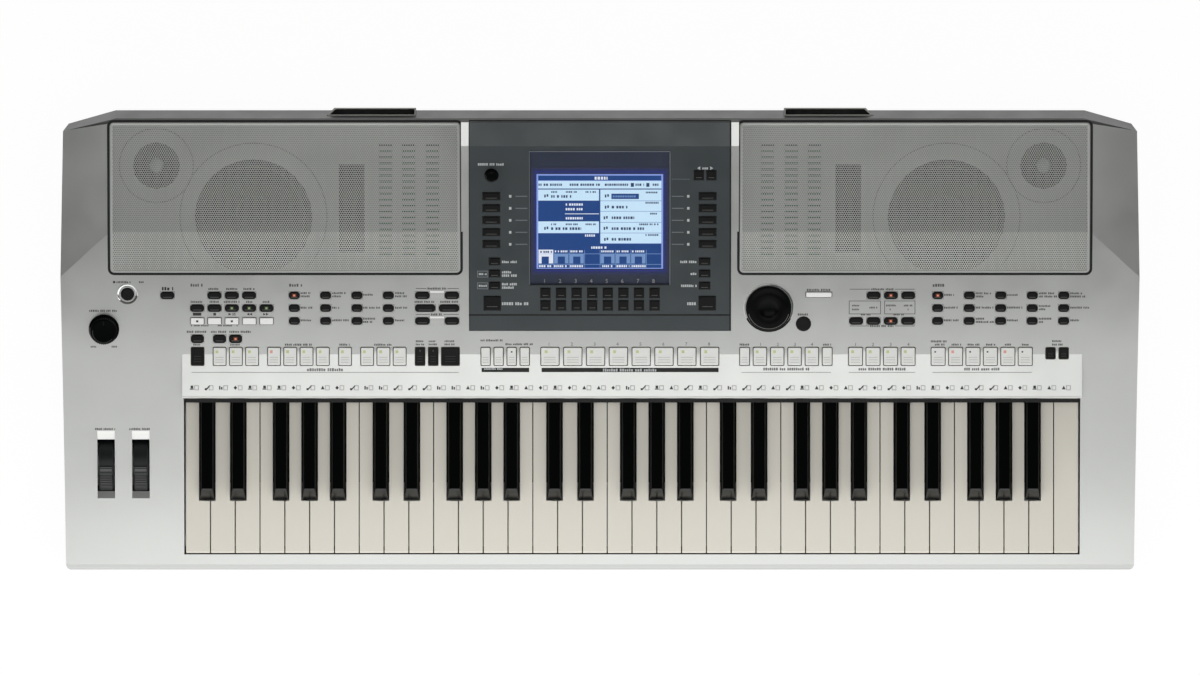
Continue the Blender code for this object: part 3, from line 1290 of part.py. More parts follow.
def make_lower_case():
    """The bottom tray: chamfered all round, with screw bosses and cross ribs inside."""
    low, high = FOOT_H, SEAM_Z - GAP
    middle = Matrix.Translation((0, 0, (low + high) / 2))
    mesh = outline_mesh("lower_case", plan_outline(SEAM_STEP), high - low, middle)
    bm = bmesh.new()
    bm.from_mesh(mesh)
    rim = [e for e in bm.edges if all(abs(v.co.z - low) < 1e-5 for v in e.verts) and len(e.link_faces) == 2]
    rim = [e for e in rim if abs(e.link_faces[0].normal.z - e.link_faces[1].normal.z) > 0.5]
    bmesh.ops.bevel(bm, geom=rim, offset=TRAY_CHAMFER, segments=1, affect="EDGES")
    case = part("lower_case", to_mesh("lower_case", bm), "black_plastic")
    lift = Matrix.Translation((0, 0, (low + high) / 2 + WALL))
    inset = SEAM_STEP + WALL + TRAY_CHAMFER / 2
    room = outline_mesh("lower_room", plan_outline(inset), high - low, lift)
    boolean(case, cutter("lower_room", room), "DIFFERENCE")
    inside = bmesh.new()
    for x in (-0.360, -0.180, 0.0, 0.180, 0.360):
        add_box(inside, (x - 0.001, x + 0.001), (FRONT_Y + 0.030, REAR_Y - 0.040), (low + 0.001, low + RIB_H))
    for x in (-0.440, -0.270, -0.090, 0.090, 0.270, 0.440):
        for y in (FRONT_Y + 0.016, REAR_Y - 0.026):
            add_cylinder(inside, BOSS_R, (low + 0.001, SEAM_Z - 0.004), Matrix.Translation((x, y, 0)), 6)
    boolean(case, cutter("lower_ribs", to_mesh("lower_ribs", inside)), "UNION")


def make_inside():
    x0, x1, y0, y1 = MAIN_BOARD
    rows = [((x0, x1), (y0, y1), (MAIN_BOARD_Z, MAIN_BOARD_Z + BOARD_T))]
    board = part("main_board", boxes("main_board", rows), "circuit_board")
    chips = bmesh.new()
    top = (MAIN_BOARD_Z + BOARD_T / 2, MAIN_BOARD_Z + BOARD_T + 0.002)
    for x, y, w in ((-0.12, y0 + 0.04, 0.028), (-0.02, y0 + 0.05, 0.020), (0.09, y0 + 0.04, 0.014)):
        add_box(chips, (x - w / 2, x + w / 2), (y - w / 2, y + w / 2), top)
    boolean(board, cutter("board_chips", to_mesh("board_chips", chips)), "UNION")
    for hand, x in (("left", -FOOT_X), ("right", FOOT_X)):
        for end, y in (("front", FRONT_Y + FOOT_IN_Y), ("rear", REAR_Y - FOOT_IN_Y)):
            profile = [
                (0, FOOT_H - GAP), (FOOT_R - 0.0006, FOOT_H - GAP), (FOOT_R, FOOT_H - 0.0010),
                (FOOT_R, 0.0010), (FOOT_R - 0.0010, 0.0), (0, 0.0),
            ]
            turned(f"{end}_{hand}_foot", profile, 12, Matrix.Translation((x, y, 0)), "rubber")


def main():
    clear_scene()
    case = make_upper_case()
    make_power_ring(case)
    make_centre_panel()
    make_display()
    make_keys()
    make_keybed()
    make_speakers()
    for name, tops in panel_strips().items():
        make_strip(name, tops, PANEL_TILT, TOP_RISE, "black_plastic")
    for name, tops in centre_strips().items():
        make_strip(name, tops, PANEL_TILT, TOP_RISE, "black_plastic")
    for name, tops in ledge_strips().items():
        finish = "white_button" if name in WHITE_STRIPS else "black_plastic"
        make_strip(name, tops, 0.0, LEDGE_TOP_RISE, finish)
    make_round_controls()
    make_wheels()
    make_rest_sockets()
    make_jacks()
    make_lower_case()
    make_inside()


main()
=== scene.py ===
"""Looks for an arranger keyboard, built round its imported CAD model.

Metres, +Z up, +X to the player's right, +Y away from the player, as in the CAD model.
"""

import json
import math
import random

import bmesh
import bpy
from mathutils import Matrix, Vector


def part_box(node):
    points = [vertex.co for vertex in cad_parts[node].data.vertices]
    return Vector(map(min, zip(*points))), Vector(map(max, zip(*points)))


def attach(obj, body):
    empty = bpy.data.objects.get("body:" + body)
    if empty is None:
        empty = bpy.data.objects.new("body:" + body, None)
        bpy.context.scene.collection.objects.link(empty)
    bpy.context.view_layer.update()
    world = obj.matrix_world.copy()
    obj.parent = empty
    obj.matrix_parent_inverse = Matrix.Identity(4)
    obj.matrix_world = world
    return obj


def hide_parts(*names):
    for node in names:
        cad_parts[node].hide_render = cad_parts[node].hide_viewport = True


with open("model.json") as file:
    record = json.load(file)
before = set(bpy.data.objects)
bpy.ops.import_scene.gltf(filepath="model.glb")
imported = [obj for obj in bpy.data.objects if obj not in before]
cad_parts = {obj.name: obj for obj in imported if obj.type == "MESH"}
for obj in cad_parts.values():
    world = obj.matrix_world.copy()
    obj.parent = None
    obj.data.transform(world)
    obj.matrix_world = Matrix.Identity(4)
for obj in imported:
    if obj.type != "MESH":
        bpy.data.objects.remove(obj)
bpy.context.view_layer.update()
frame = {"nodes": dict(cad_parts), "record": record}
NODES = frame["nodes"]

# The CAD model's own values, repeated here because this file stands alone
FRONT_Y = -0.216
LEDGE_Z = 0.0937
LEDGE_REAR_Y = -0.0141
LEDGE_FRONT_Y = -0.0556
PANEL_TILT = math.radians(14.0)
BACK_TILT = math.radians(6.0)
TOP_TILT = math.radians(2.0)
CHEEK_TILT = math.radians(1.7)
CREASE_Y = 0.100
RIDGE_Y = 0.206
CENTRE_CREASE_Y = 0.180
KEY_TOP_Z = 0.072
GRILLE_X = (0.1300, 0.4577)
GRILLE_Y = (0.0618, 0.2025)
GRILLE_R = 0.004
PLATE_T = 0.0016
GAP = 0.0003
RUNNER_TOP = -0.0052
LEDGE_RISE = 0.0020
PANEL_RISE = 0.0014
WHEEL_X = (-0.4627, -0.4302)
WHEEL_CENTRE = (-0.1173, 0.05276)
WHEEL_R = 0.029
WHEEL_W = 0.0140

# Where the painted shade at the rear starts: on the ridge, and along a slanting line on each side pod
RIDGE_BAND_Y = 0.2021
POD_LINE = ((0.5012, 0.1944), (0.4583, 0.2009))

# Keytops: their corner radii, by where they are or for white ones on the slope, and the outlines round them
LEDGE_CORNER, PANEL_CORNER, WHITE_CORNER, CENTRE_CORNER = 0.0010, 0.0022, 0.0010, 0.0014
LEDGE_OUTLINE, PANEL_OUTLINE, CENTRE_OUTLINE = 0.0008, 0.0004, 0.0006

# The photograph's camera: straight down, far above the floor
CAMERA_Y = 0.00164
CAMERA_Z = 12.0
KEY_PLANE_Z = 0.066
VIEW_W = 1.12512
SENSOR = 36.0
IMAGE_W, IMAGE_H = 1200.0, 675.0

# The floor's glow, the surround's brightness in front, behind and at the top, and where it changes
FLOOR_GLOW = 0.94
WORLD_FRONT, WORLD_REAR, WORLD_TOP = 1.40, 0.62, 0.02
WORLD_RISE = (0.20, 0.75)
# Each lamp's name, size, place and power
LAMPS = (
    ("overhead_softbox", (1.49, 0.73), (0.0, -0.015, 1.60), 5.77),
    ("front_softbox", (1.57, 0.867), (0.0, -0.686, 0.60), 4.65),
)

# The display's lit picture: half its width, its middle, half its depth, the reach of its glow and how far
# it is under the slope; its own units, which count from a pixel of the photograph
LIT_HALF = 0.0592
LIT_MIDDLE = 0.11015
LIT_DEPTH = 0.04525
GLOW_REACH = 0.0050
LCD_BELOW = 0.0026
LCD_CORNER = (465, 115)
LCD_UNITS_PER_PIXEL = 5.8074
LCD_CELL = 89.5

# The speakers' middles, how far they and the baffle's marks are under the casing, and the grilles' cells
WOOFER = (0.3235, 0.1143)
TWEETER = (0.4140, 0.1621)
SPEAKER_BELOW = 0.0090
BAFFLE_BELOW = 0.0060
GRILLE_PITCH = 0.0021
GRILLE_HOLE = 0.00084
GRILLE_RIM = 0.0016

# How far a thin mark goes under its surface, how near split corners are to each other, and the size that
# makes a font's figures as high as asked
SINK = 0.00005
WELD = 2e-6
FONT_SIZE = 1.75


def panel_z(y):
    """Height of the sloping control panel."""
    return LEDGE_Z + (y - LEDGE_REAR_Y) * math.tan(PANEL_TILT)


def side_z(y):
    """Height of the panel and, behind the crease, of the flatter back."""
    if y <= CREASE_Y:
        return panel_z(y)
    return panel_z(CREASE_Y) + (y - CREASE_Y) * math.tan(BACK_TILT)


def centre_z(y):
    """Height of the raised centre block."""
    if y <= CENTRE_CREASE_Y:
        return panel_z(y)
    return panel_z(CENTRE_CREASE_Y) + (y - CENTRE_CREASE_Y) * math.tan(TOP_TILT)


def cheek_z(y):
    """Height of the cheeks and the front lip."""
    if y >= LEDGE_REAR_Y:
        return panel_z(y)
    steep, level = math.tan(PANEL_TILT), math.tan(CHEEK_TILT)
    back = LEDGE_REAR_Y - y
    return LEDGE_Z - steep * back + (steep - level) * back * back / (2 * (LEDGE_REAR_Y - FRONT_Y))


def ledge_z(y):
    """Height of the ledge and of the panel that rises behind it."""
    return LEDGE_Z if y <= LEDGE_REAR_Y else panel_z(y)


def lcd_z(y):
    """Height of the display's lit face, under its window."""
    return panel_z(y) - LCD_BELOW


def photo_point(px, py, height):
    """The place on a surface that a pixel of the photograph shows."""
    y = 0.0
    for _ in range(4):
        scale = VIEW_W / IMAGE_W * (CAMERA_Z - height(y)) / (CAMERA_Z - KEY_PLANE_Z)
        y = CAMERA_Y + (IMAGE_H / 2 - py) * scale
    return (px - IMAGE_W / 2) * scale, y


# Materials


class Graph:
    """The nodes of a material or of the surround, added and joined in short calls."""

    def __init__(self, owner):
        owner.use_nodes = True
        self.nodes, self.links = owner.node_tree.nodes, owner.node_tree.links

    def add(self, kind, operation=None, second=None, **values):
        made = self.nodes.new("ShaderNode" + kind)
        if operation:
            made.operation = operation
        if second is not None:
            made.inputs[1].default_value = second
        set_inputs(made, values)
        return made

    def join(self, *links):
        """Each link is a node, its output, the next node and its input."""
        for source, output, target, socket in links:
            self.links.new(source.outputs[output], target.inputs[socket])


def set_inputs(node, values):
    """Sets a node's inputs; a _ in a name stands for a space."""
    for key, value in values.items():
        node.inputs[key.replace("_", " ")].default_value = value


def surface(name, colour, roughness, metallic=0.0, mottle=0.05, patch=0.03, grain=0.0006,
            relief=0.15, sheen=0.05, **inputs):
    """A moulded or painted surface: its colour and gloss vary, and a fine grain gives it relief."""
    made = bpy.data.materials.new(name)
    graph = Graph(made)
    shader = graph.nodes["Principled BSDF"]
    set_inputs(shader, {"Metallic": metallic, **inputs})
    place = graph.add("TexCoord")
    broad = graph.add("TexNoise", Scale=1.0 / patch, Detail=3.0)
    fine = graph.add("TexNoise", Scale=1.0 / grain, Detail=2.0)
    both = graph.add("Math", "ADD")
    half = graph.add("Math", "MULTIPLY", 0.5)
    ramp = graph.add("ValToRGB")
    low, high = 0.3, 0.7
    for element, position, share in zip(ramp.color_ramp.elements, (low, high), (-mottle, mottle)):
        element.position = position
        element.color = (*[min(1.0, c * (1 + share)) for c in colour], 1.0)
    gloss = graph.add("MapRange", From_Min=low, From_Max=high, To_Min=max(0.0, roughness - sheen),
                      To_Max=min(1.0, roughness + sheen))
    bump = graph.add("Bump", Strength=relief, Distance=grain * 0.2)
    graph.join((place, "Object", broad, "Vector"), (place, "Object", fine, "Vector"),
               (broad, "Fac", both, 0), (fine, "Fac", both, 1), (both, 0, half, 0), (half, 0, ramp, "Fac"),
               (ramp, "Color", shader, "Base Color"), (broad, "Fac", gloss, "Value"),
               (gloss, "Result", shader, "Roughness"), (fine, "Fac", bump, "Height"),
               (bump, "Normal", shader, "Normal"))
    return made


def srgb(r, g, b):
    """A colour written in 0 to 255, in linear light."""
    return tuple(((c / 255 + 0.055) / 1.055) ** 2.4 if c > 10 else c / 255 / 12.92 for c in (r, g, b))


def glow(name, colour, strength):
    """A lit surface."""
    return surface(name, tuple(c * 0.4 for c in colour), 0.4, Emission_Color=(*colour, 1.0),
                   Emission_Strength=strength)


SILVER = surface("silver_paint", (0.60, 0.61, 0.59), 0.31, 0.90, mottle=0.02, grain=0.00045,
                 relief=0.015, sheen=0.02)
# Painted shade: dark paint on the top's rear-facing faces, its rear band and the pods behind their slanting
# line
REAR_PAINTED_SHADE = surface("rear_painted_shade", (0.098, 0.101, 0.097), 0.36, 0.7, mottle=0.04, grain=0.00045,
                   relief=0.02)
# Painted highlight: pale paint on the wheel slot's front-facing bevel
SLOT_PAINTED_HIGHLIGHT = surface("slot_edge_painted_highlight", (0.74, 0.74, 0.72), 0.30, 0.90, mottle=0.03, grain=0.00045,
                    relief=0.05)
GRILLE = surface("grille_paint", srgb(182, 184, 180), 0.45, 0.15, mottle=0.02, relief=0.03)
# Painted light: paler paint on the grilles' front part, before the crease
GRILLE_FRONT_LIGHT = surface("grille_front_painted_light", srgb(214, 216, 211), 0.45, 0.15, mottle=0.02, relief=0.03)
BAFFLE = surface("baffle_paint", (0.32, 0.325, 0.315), 0.33, 0.85, mottle=0.03, relief=0.02)
TRIM_SHADE = surface("shaded_trim", (0.16, 0.16, 0.15), 0.40, 0.7, relief=0.05)
TRIM = surface("bright_trim", (0.66, 0.66, 0.64), 0.28, 0.9, mottle=0.04, grain=0.0003, relief=0.05)
# Painted highlight: pale paint on the data dial's ring at its rear left
DIAL_RING_HIGHLIGHT = surface("dial_ring_painted_highlight", srgb(228, 229, 225), 0.35, mottle=0.02, relief=0.03)
# Black for gaps, gaskets and seams, and painted shade on the dial ring's front and on the felt under the
# ledge
BLACK_GAP_AND_SHADE = surface("gasket_black_and_painted_shade", (0.006, 0.006, 0.006), 0.75)
OUTLINE = surface("button_surround", srgb(70, 66, 56), 0.60, Specular_IOR_Level=0.2)
DARK_PANEL = surface("dark_panel_plastic", (0.009, 0.020, 0.024), 0.38, grain=0.0005, relief=0.12,
                     Specular_IOR_Level=0.85)
BEZEL = surface("display_bezel", srgb(68, 75, 96), 0.35, mottle=0.04, Specular_IOR_Level=0.3)
BLACK_BUTTON = surface("black_button_plastic", (0.0040, 0.0045, 0.0040), 0.40, mottle=0.10, relief=0.2,
                       Specular_IOR_Level=0.18)
WHITE_BUTTON = surface("white_button_plastic", srgb(250, 251, 247), 0.35, mottle=0.012, relief=0.06)
# Bright white for white keytops, and the painted highlight on the tempo bridges
BRIGHT_WHITE_AND_HIGHLIGHT = surface("bright_white_plastic_and_highlight", srgb(254, 254, 252), 0.35, mottle=0.004, relief=0.05)
BLACK_KNOB = surface("black_knob_plastic", (0.0016, 0.0022, 0.0020), 0.35, mottle=0.15, relief=0.2,
                     Specular_IOR_Level=0.03)
# Painted highlight: paler paint on the front of a knob's rim
KNOB_RIM_HIGHLIGHT = surface("black_knob_rim_highlight", (0.016, 0.018, 0.017), 0.30, mottle=0.15, relief=0.2)
DIAL_BLACK = surface("data_dial_plastic", (0.0016, 0.0022, 0.0018), 0.30, mottle=0.15, relief=0.1,
                     Specular_IOR_Level=0.07)
WHEEL_BODY = surface("wheel_plastic", (0.010, 0.012, 0.012), 0.40, mottle=0.15, relief=0.1,
                     Specular_IOR_Level=0.3)
WHEEL_GRIP = surface("wheel_grip_rubber", (0.085, 0.088, 0.085), 0.45, mottle=0.15, relief=0.2)
WHITE_KEY = surface("white_key_plastic", srgb(235, 230, 217), 0.30, mottle=0.004, patch=0.05,
                    relief=0.02, sheen=0.02)
BLACK_KEY = surface("black_key_top", (0.0010, 0.0015, 0.0013), 0.38, mottle=0.2, grain=0.0003,
                    relief=0.12, Specular_IOR_Level=0.01)
# Painted highlight: a brighter, glossier copy of the black key finish on the keys' front faces
BLACK_KEY_FRONT_HIGHLIGHT = surface("black_key_front_highlight", (0.0035, 0.0042, 0.0038), 0.26, mottle=0.2, grain=0.0003,
                         relief=0.05, Specular_IOR_Level=0.62)
RUBBER = surface("foot_rubber", (0.02, 0.02, 0.02), 0.85, relief=0.5)
CASE_BLACK = surface("black_case_plastic", (0.018, 0.019, 0.019), 0.55, mottle=0.12, grain=0.0008, relief=0.5)
PAPER = surface("speaker_paper", (0.035, 0.036, 0.035), 0.85, mottle=0.25, patch=0.006, grain=0.0004,
                relief=0.6)
CONE_DARK = surface("speaker_surround", (0.012, 0.012, 0.012), 0.50, mottle=0.15)
DUST_CAP = surface("speaker_dust_cap", srgb(226, 228, 222), 0.45)
STEEL = surface("zinc_steel", (0.50, 0.50, 0.50), 0.38, 0.95, mottle=0.12, patch=0.008)
BOARD = surface("circuit_board_resist", (0.012, 0.10, 0.035), 0.35, mottle=0.25, patch=0.004)
CHROME = surface("bright_chrome", (0.75, 0.76, 0.76), 0.12, 1.0, mottle=0.03, relief=0.02, sheen=0.03)
INK = surface("dark_print", srgb(88, 90, 86), 0.60)
INK_THIN = surface("thin_print", srgb(118, 120, 116), 0.60)
INK_BLACK = surface("black_print", srgb(18, 20, 15), 0.55)
INK_BOLD = surface("bold_print", srgb(44, 46, 43), 0.55)
INK_WHITE = surface("white_print", srgb(196, 200, 200), 0.55)
LINE_GREY = surface("grey_print", srgb(150, 151, 148), 0.55)
RIB_DARK = surface("button_line", srgb(58, 60, 56), 0.50)
# Painted highlight: pale lines near the black keytops' lower edges and on the data dial's front rim
EDGE_HIGHLIGHT = surface("button_edge_highlight", srgb(92, 94, 89), 0.50)
# Painted shade: the dark rings on the baffle round the speakers
RING_SHADE = surface("baffle_groove_shade", (0.17, 0.173, 0.167), 0.33, 0.85, mottle=0.03, relief=0.02)
RIB_PALE = surface("pad_line", srgb(196, 198, 190), 0.45)
LED_DIM = surface("led_yellow_green", srgb(216, 223, 158), 0.40)
HALO_GREEN = surface("led_green_halo", srgb(26, 46, 12), 0.45)
HALO_RED = surface("led_red_halo", srgb(104, 40, 24), 0.45)
LED_RED = glow("led_orange", srgb(238, 140, 105), 0.60)
LED_PINK = surface("led_lit_pad", srgb(246, 178, 160), 0.40)
LED_LIT = glow("led_lit_green", srgb(160, 178, 130), 0.50)
LCD_PALE = glow("lcd_pale", srgb(198, 227, 248), 0.98)
LCD_BLUE = glow("lcd_blue", srgb(22, 68, 136), 0.80)
LCD_RIM = glow("lcd_rim", srgb(140, 164, 236), 0.85)
LCD_LIGHT = glow("lcd_light_blue", srgb(120, 155, 208), 0.80)
LCD_WHITE = glow("lcd_white", srgb(232, 240, 255), 0.85)
LCD_TEXT = glow("lcd_text", srgb(48, 72, 118), 0.50)


def lit_edge():
    """The display's edge, whose backlight fades outwards from violet blue to the dark frame."""
    made = surface("lcd_edge_glow", srgb(18, 20, 40), 0.40, Emission_Strength=0.90)
    graph = Graph(made)
    place, parts, far = graph.add("TexCoord"), graph.add("SeparateXYZ"), graph.add("Math", "MAXIMUM")
    graph.join((place, "Object", parts, "Vector"))
    for side, (axis, centre, half) in enumerate((("X", 0.0, LIT_HALF), ("Y", LIT_MIDDLE, LIT_DEPTH))):
        shift = graph.add("Math", "SUBTRACT", centre)
        size = graph.add("Math", "ABSOLUTE")
        over = graph.add("Math", "SUBTRACT", half)
        graph.join((parts, axis, shift, 0), (shift, 0, size, 0), (size, 0, over, 0), (over, 0, far, side))
    reach = graph.add("MapRange", From_Max=GLOW_REACH)
    ramp = graph.add("ValToRGB")
    stops = ramp.color_ramp.elements
    stops.new(0.40)
    for stop, colour in zip(stops, ((38, 50, 138), (34, 42, 92), (46, 52, 68))):
        stop.color = (*srgb(*colour), 1.0)
    graph.join((far, 0, reach, "Value"), (reach, "Result", ramp, "Fac"),
               (ramp, "Color", graph.nodes["Principled BSDF"], "Emission Color"))
    return made


# Pieces


def place(name, mesh, finishes, body="case", slot="silver_case", replaces=()):
    """Links a mesh as a piece that rides on a body, with one finish or several in their order."""
    mesh.name = name
    for finish in finishes if isinstance(finishes, tuple) else (finishes,):
        mesh.materials.append(finish)
    made = bpy.data.objects.new(name, mesh)
    bpy.context.scene.collection.objects.link(made)
    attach(made, body)
    if replaces:
        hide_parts(*replaces)
    return made


def body_of(node):
    """The body that a CAD node belongs to."""
    for body, members in frame["record"]["behaviour"]["bodies"].items():
        if node in members:
            return body
    raise KeyError(node)


def paint(material, slot, *nodes):
    """Gives CAD nodes' own objects a finished material."""
    for node in nodes:
        thing = NODES[node]
        thing.data.materials.clear()
        thing.data.materials.append(material)


def mesh_of(verts, faces):
    """A mesh from its corners and faces."""
    mesh = bpy.data.meshes.new("piece")
    mesh.from_pydata(verts, [], faces)
    return mesh


def mesh_from(bm, smooth=None):
    """Ends a bmesh; edges flatter than the given angle are shaded smooth."""
    if smooth is not None:
        limit = math.radians(smooth)
        for face in bm.faces:
            face.smooth = True
        for edge in bm.edges:
            edge.smooth = len(edge.link_faces) == 2 and edge.calc_face_angle(0.0) < limit
    mesh = bpy.data.meshes.new("piece")
    bm.to_mesh(mesh)
    bm.free()
    return mesh


def welded(node):
    """A CAD node's mesh with its split corners joined and its flat faces whole again."""
    bm = bmesh.new()
    bm.from_mesh(NODES[node].data)
    bmesh.ops.remove_doubles(bm, verts=bm.verts, dist=WELD)
    bmesh.ops.dissolve_limit(bm, angle_limit=math.radians(0.5), verts=bm.verts, edges=bm.edges)
    bmesh.ops.recalc_face_normals(bm, faces=bm.faces)
    return bm


def round_edges(bm, pick, width, segments):
    """Rounds the edges that a test picks."""
    edges = [e for e in bm.edges if len(e.link_faces) == 2 and pick(e)]
    if edges:
        bmesh.ops.bevel(bm, geom=edges, offset=width, segments=segments, profile=0.5,
                        affect="EDGES", clamp_overlap=True)


def even_normals(thing):
    """Keeps large flat faces evenly shaded beside their rounded edges."""
    step = thing.modifiers.new("even_normals", "WEIGHTED_NORMAL")
    step.keep_sharp = True


def bridge(bm, loops):
    """Faces from each loop of corners to the next one."""
    return [bm.faces.new((a[i], a[(i + 1) % len(a)], b[(i + 1) % len(a)], b[i]))
            for a, b in zip(loops, loops[1:]) for i in range(len(a))]


def turned(profile, steps, matrix):
    """A turned mesh from its profile of (radius, height) points, listed from the top down."""
    bm = bmesh.new()
    rings = []
    for radius, height in profile:
        if radius < 1e-6:
            rings.append([bm.verts.new((0, 0, height))])
            continue
        angles = (2 * math.pi * i / steps for i in range(steps))
        rings.append([bm.verts.new((radius * math.cos(a), radius * math.sin(a), height)) for a in angles])
    for upper, lower in zip(rings, rings[1:]):
        for i in range(steps):
            j = (i + 1) % steps
            corners = (upper[i % len(upper)], lower[i % len(lower)], lower[j % len(lower)],
                       upper[j % len(upper)])
            unique = list(dict.fromkeys(corners))
            if len(unique) > 2:
                bm.faces.new(unique)
    bmesh.ops.recalc_face_normals(bm, faces=bm.faces)
    bm.transform(matrix)
    return mesh_from(bm, 40)


def on_panel(x, y):
    """The axes of a turned thing that stands on the sloping panel."""
    return Matrix.Translation((x, y, panel_z(y))) @ Matrix.Rotation(PANEL_TILT, 4, "X")


def bearing(face, back):
    """A face's direction round an axis, in degrees, and its distance from it."""
    spot = back @ face.center
    return math.degrees(math.atan2(spot.y, spot.x)) % 360, math.hypot(*spot.xy)


class Marks:
    """Thin printed or moulded shapes on a surface, gathered into one piece."""

    def __init__(self, height, rise=0.00008, breaks=()):
        self.height = height
        self.rise = rise
        self.breaks = breaks
        self.verts = []
        self.faces = []

    def prism(self, points, low=-SINK, high=None):
        """A flat shape from its counter-clockwise (x, y) corners."""
        high = self.rise if high is None else high
        start, count = len(self.verts), len(points)
        for offset in (low, high):
            self.verts += [(x, y, self.height(y) + offset) for x, y in points]
        self.faces.append([start + i for i in reversed(range(count))])
        self.faces.append([start + count + i for i in range(count)])
        for i in range(count):
            j = (i + 1) % count
            self.faces.append([start + i, start + j, start + count + j, start + count + i])

    def bar(self, x0, x1, y0, y1, **more):
        """A rectangle, cut where its surface changes slope."""
        stops = [y0] + [b for b in self.breaks if y0 < b < y1] + [y1]
        for a, b in zip(stops, stops[1:]):
            self.prism([(x0, a), (x1, a), (x1, b), (x0, b)], **more)

    def px(self, x0, x1, y0, y1, **more):
        """A bar between photograph pixels, its rows counted downwards."""
        left, top = photo_point(x0, y0, self.height)
        right, bottom = photo_point(x1, y1, self.height)
        self.bar(left, right, bottom, top, **more)

    def shape(self, points):
        """A flat shape whose corners may run either way round."""
        area = sum(a[0] * b[1] - b[0] * a[1] for a, b in zip(points, points[1:] + points[:1]))
        self.prism(points if area > 0 else points[::-1])

    def px_shape(self, *points):
        """A shape from photograph pixels."""
        self.shape([photo_point(px, py, self.height) for px, py in points])

    def frame(self, x0, x1, y0, y1, width):
        """An outline between photograph pixels."""
        self.px(x0, x1, y0, y0 + width)
        self.px(x0, x1, y1 - width, y1)
        self.px(x0, x0 + width, y0 + width, y1 - width)
        self.px(x1 - width, x1, y0 + width, y1 - width)

    def collar(self, x0, x1, y0, y1, radius, grow):
        """A rounded outline round a keytop."""
        loops = []
        for extra, offset in ((0.0, -SINK), (grow, -SINK), (grow, self.rise), (0.0, self.rise)):
            points = rounded_loop((x0 - extra, x1 + extra), (y0 - extra, y1 + extra), radius + extra, 4)
            points = with_breaks(points, self.breaks)
            start = len(self.verts)
            self.verts += [(x, y, self.height(y) + offset) for x, y in points]
            loops.append(range(start, start + len(points)))
        for a, b in zip(loops, loops[1:] + loops[:1]):
            for i in range(len(a)):
                j = (i + 1) % len(a)
                self.faces.append([a[i], b[i], b[j], a[j]])

    def corner_fills(self, x0, x1, y0, y1, radius, grow):
        """What is left between a collar and its opening's square corners."""
        for x, y, turn in ((x1, y1, 0), (x0, y1, 90), (x0, y0, 180), (x1, y0, 270)):
            side, way = (1 if x == x1 else -1), (1 if y == y1 else -1)
            cx, cy = x - side * radius, y - way * radius
            arc = [(cx + (radius + grow) * math.cos(a), cy + (radius + grow) * math.sin(a))
                   for a in (math.radians(turn + 15 * i) for i in range(7))]
            self.prism([(x + side * grow, y + way * grow)] + arc[::-1])

    def words(self, x0, x1, y, size, draw):
        """Blank words: rows of small blocks where a label goes."""
        x = x0
        left = draw.randint(3, 8)
        while x < x1 - 0.3 * size:
            if left == 0:
                x += 0.55 * size
                left = draw.randint(3, 8)
                continue
            wide = min(size * draw.uniform(0.45, 0.72), x1 - x)
            tall = size * draw.choice((1.0, 1.0, 0.82))
            self.px(x, x + wide, y + size / 2 - tall, y + size / 2)
            x += wide + 0.22 * size
            left -= 1

    def digit(self, text, px, py, size):
        """A plain number, centred on a pixel."""
        curve = bpy.data.curves.new("number", "FONT")
        curve.body = text
        curve.size = size * VIEW_W / IMAGE_W * FONT_SIZE
        curve.align_x = "CENTER"
        curve.align_y = "CENTER"
        curve.extrude = (self.rise + SINK) / 2
        curve.resolution_u = 2
        holder = bpy.data.objects.new("number", curve)
        bpy.context.scene.collection.objects.link(holder)
        mesh = bpy.data.meshes.new_from_object(holder.evaluated_get(bpy.context.evaluated_depsgraph_get()))
        bpy.data.objects.remove(holder)
        x, y = photo_point(px, py, self.height)
        start = len(self.verts)
        middle = (self.rise - SINK) / 2
        self.verts += [(x + v.co.x, y + v.co.y, self.height(y + v.co.y) + middle + v.co.z)
                       for v in mesh.vertices]
        self.faces += [[start + i for i in face.vertices] for face in mesh.polygons]
        bpy.data.meshes.remove(mesh)

    def done(self, name, material, slot="silver_case"):
        place(name, mesh_of(self.verts, self.faces), material, "case", slot)


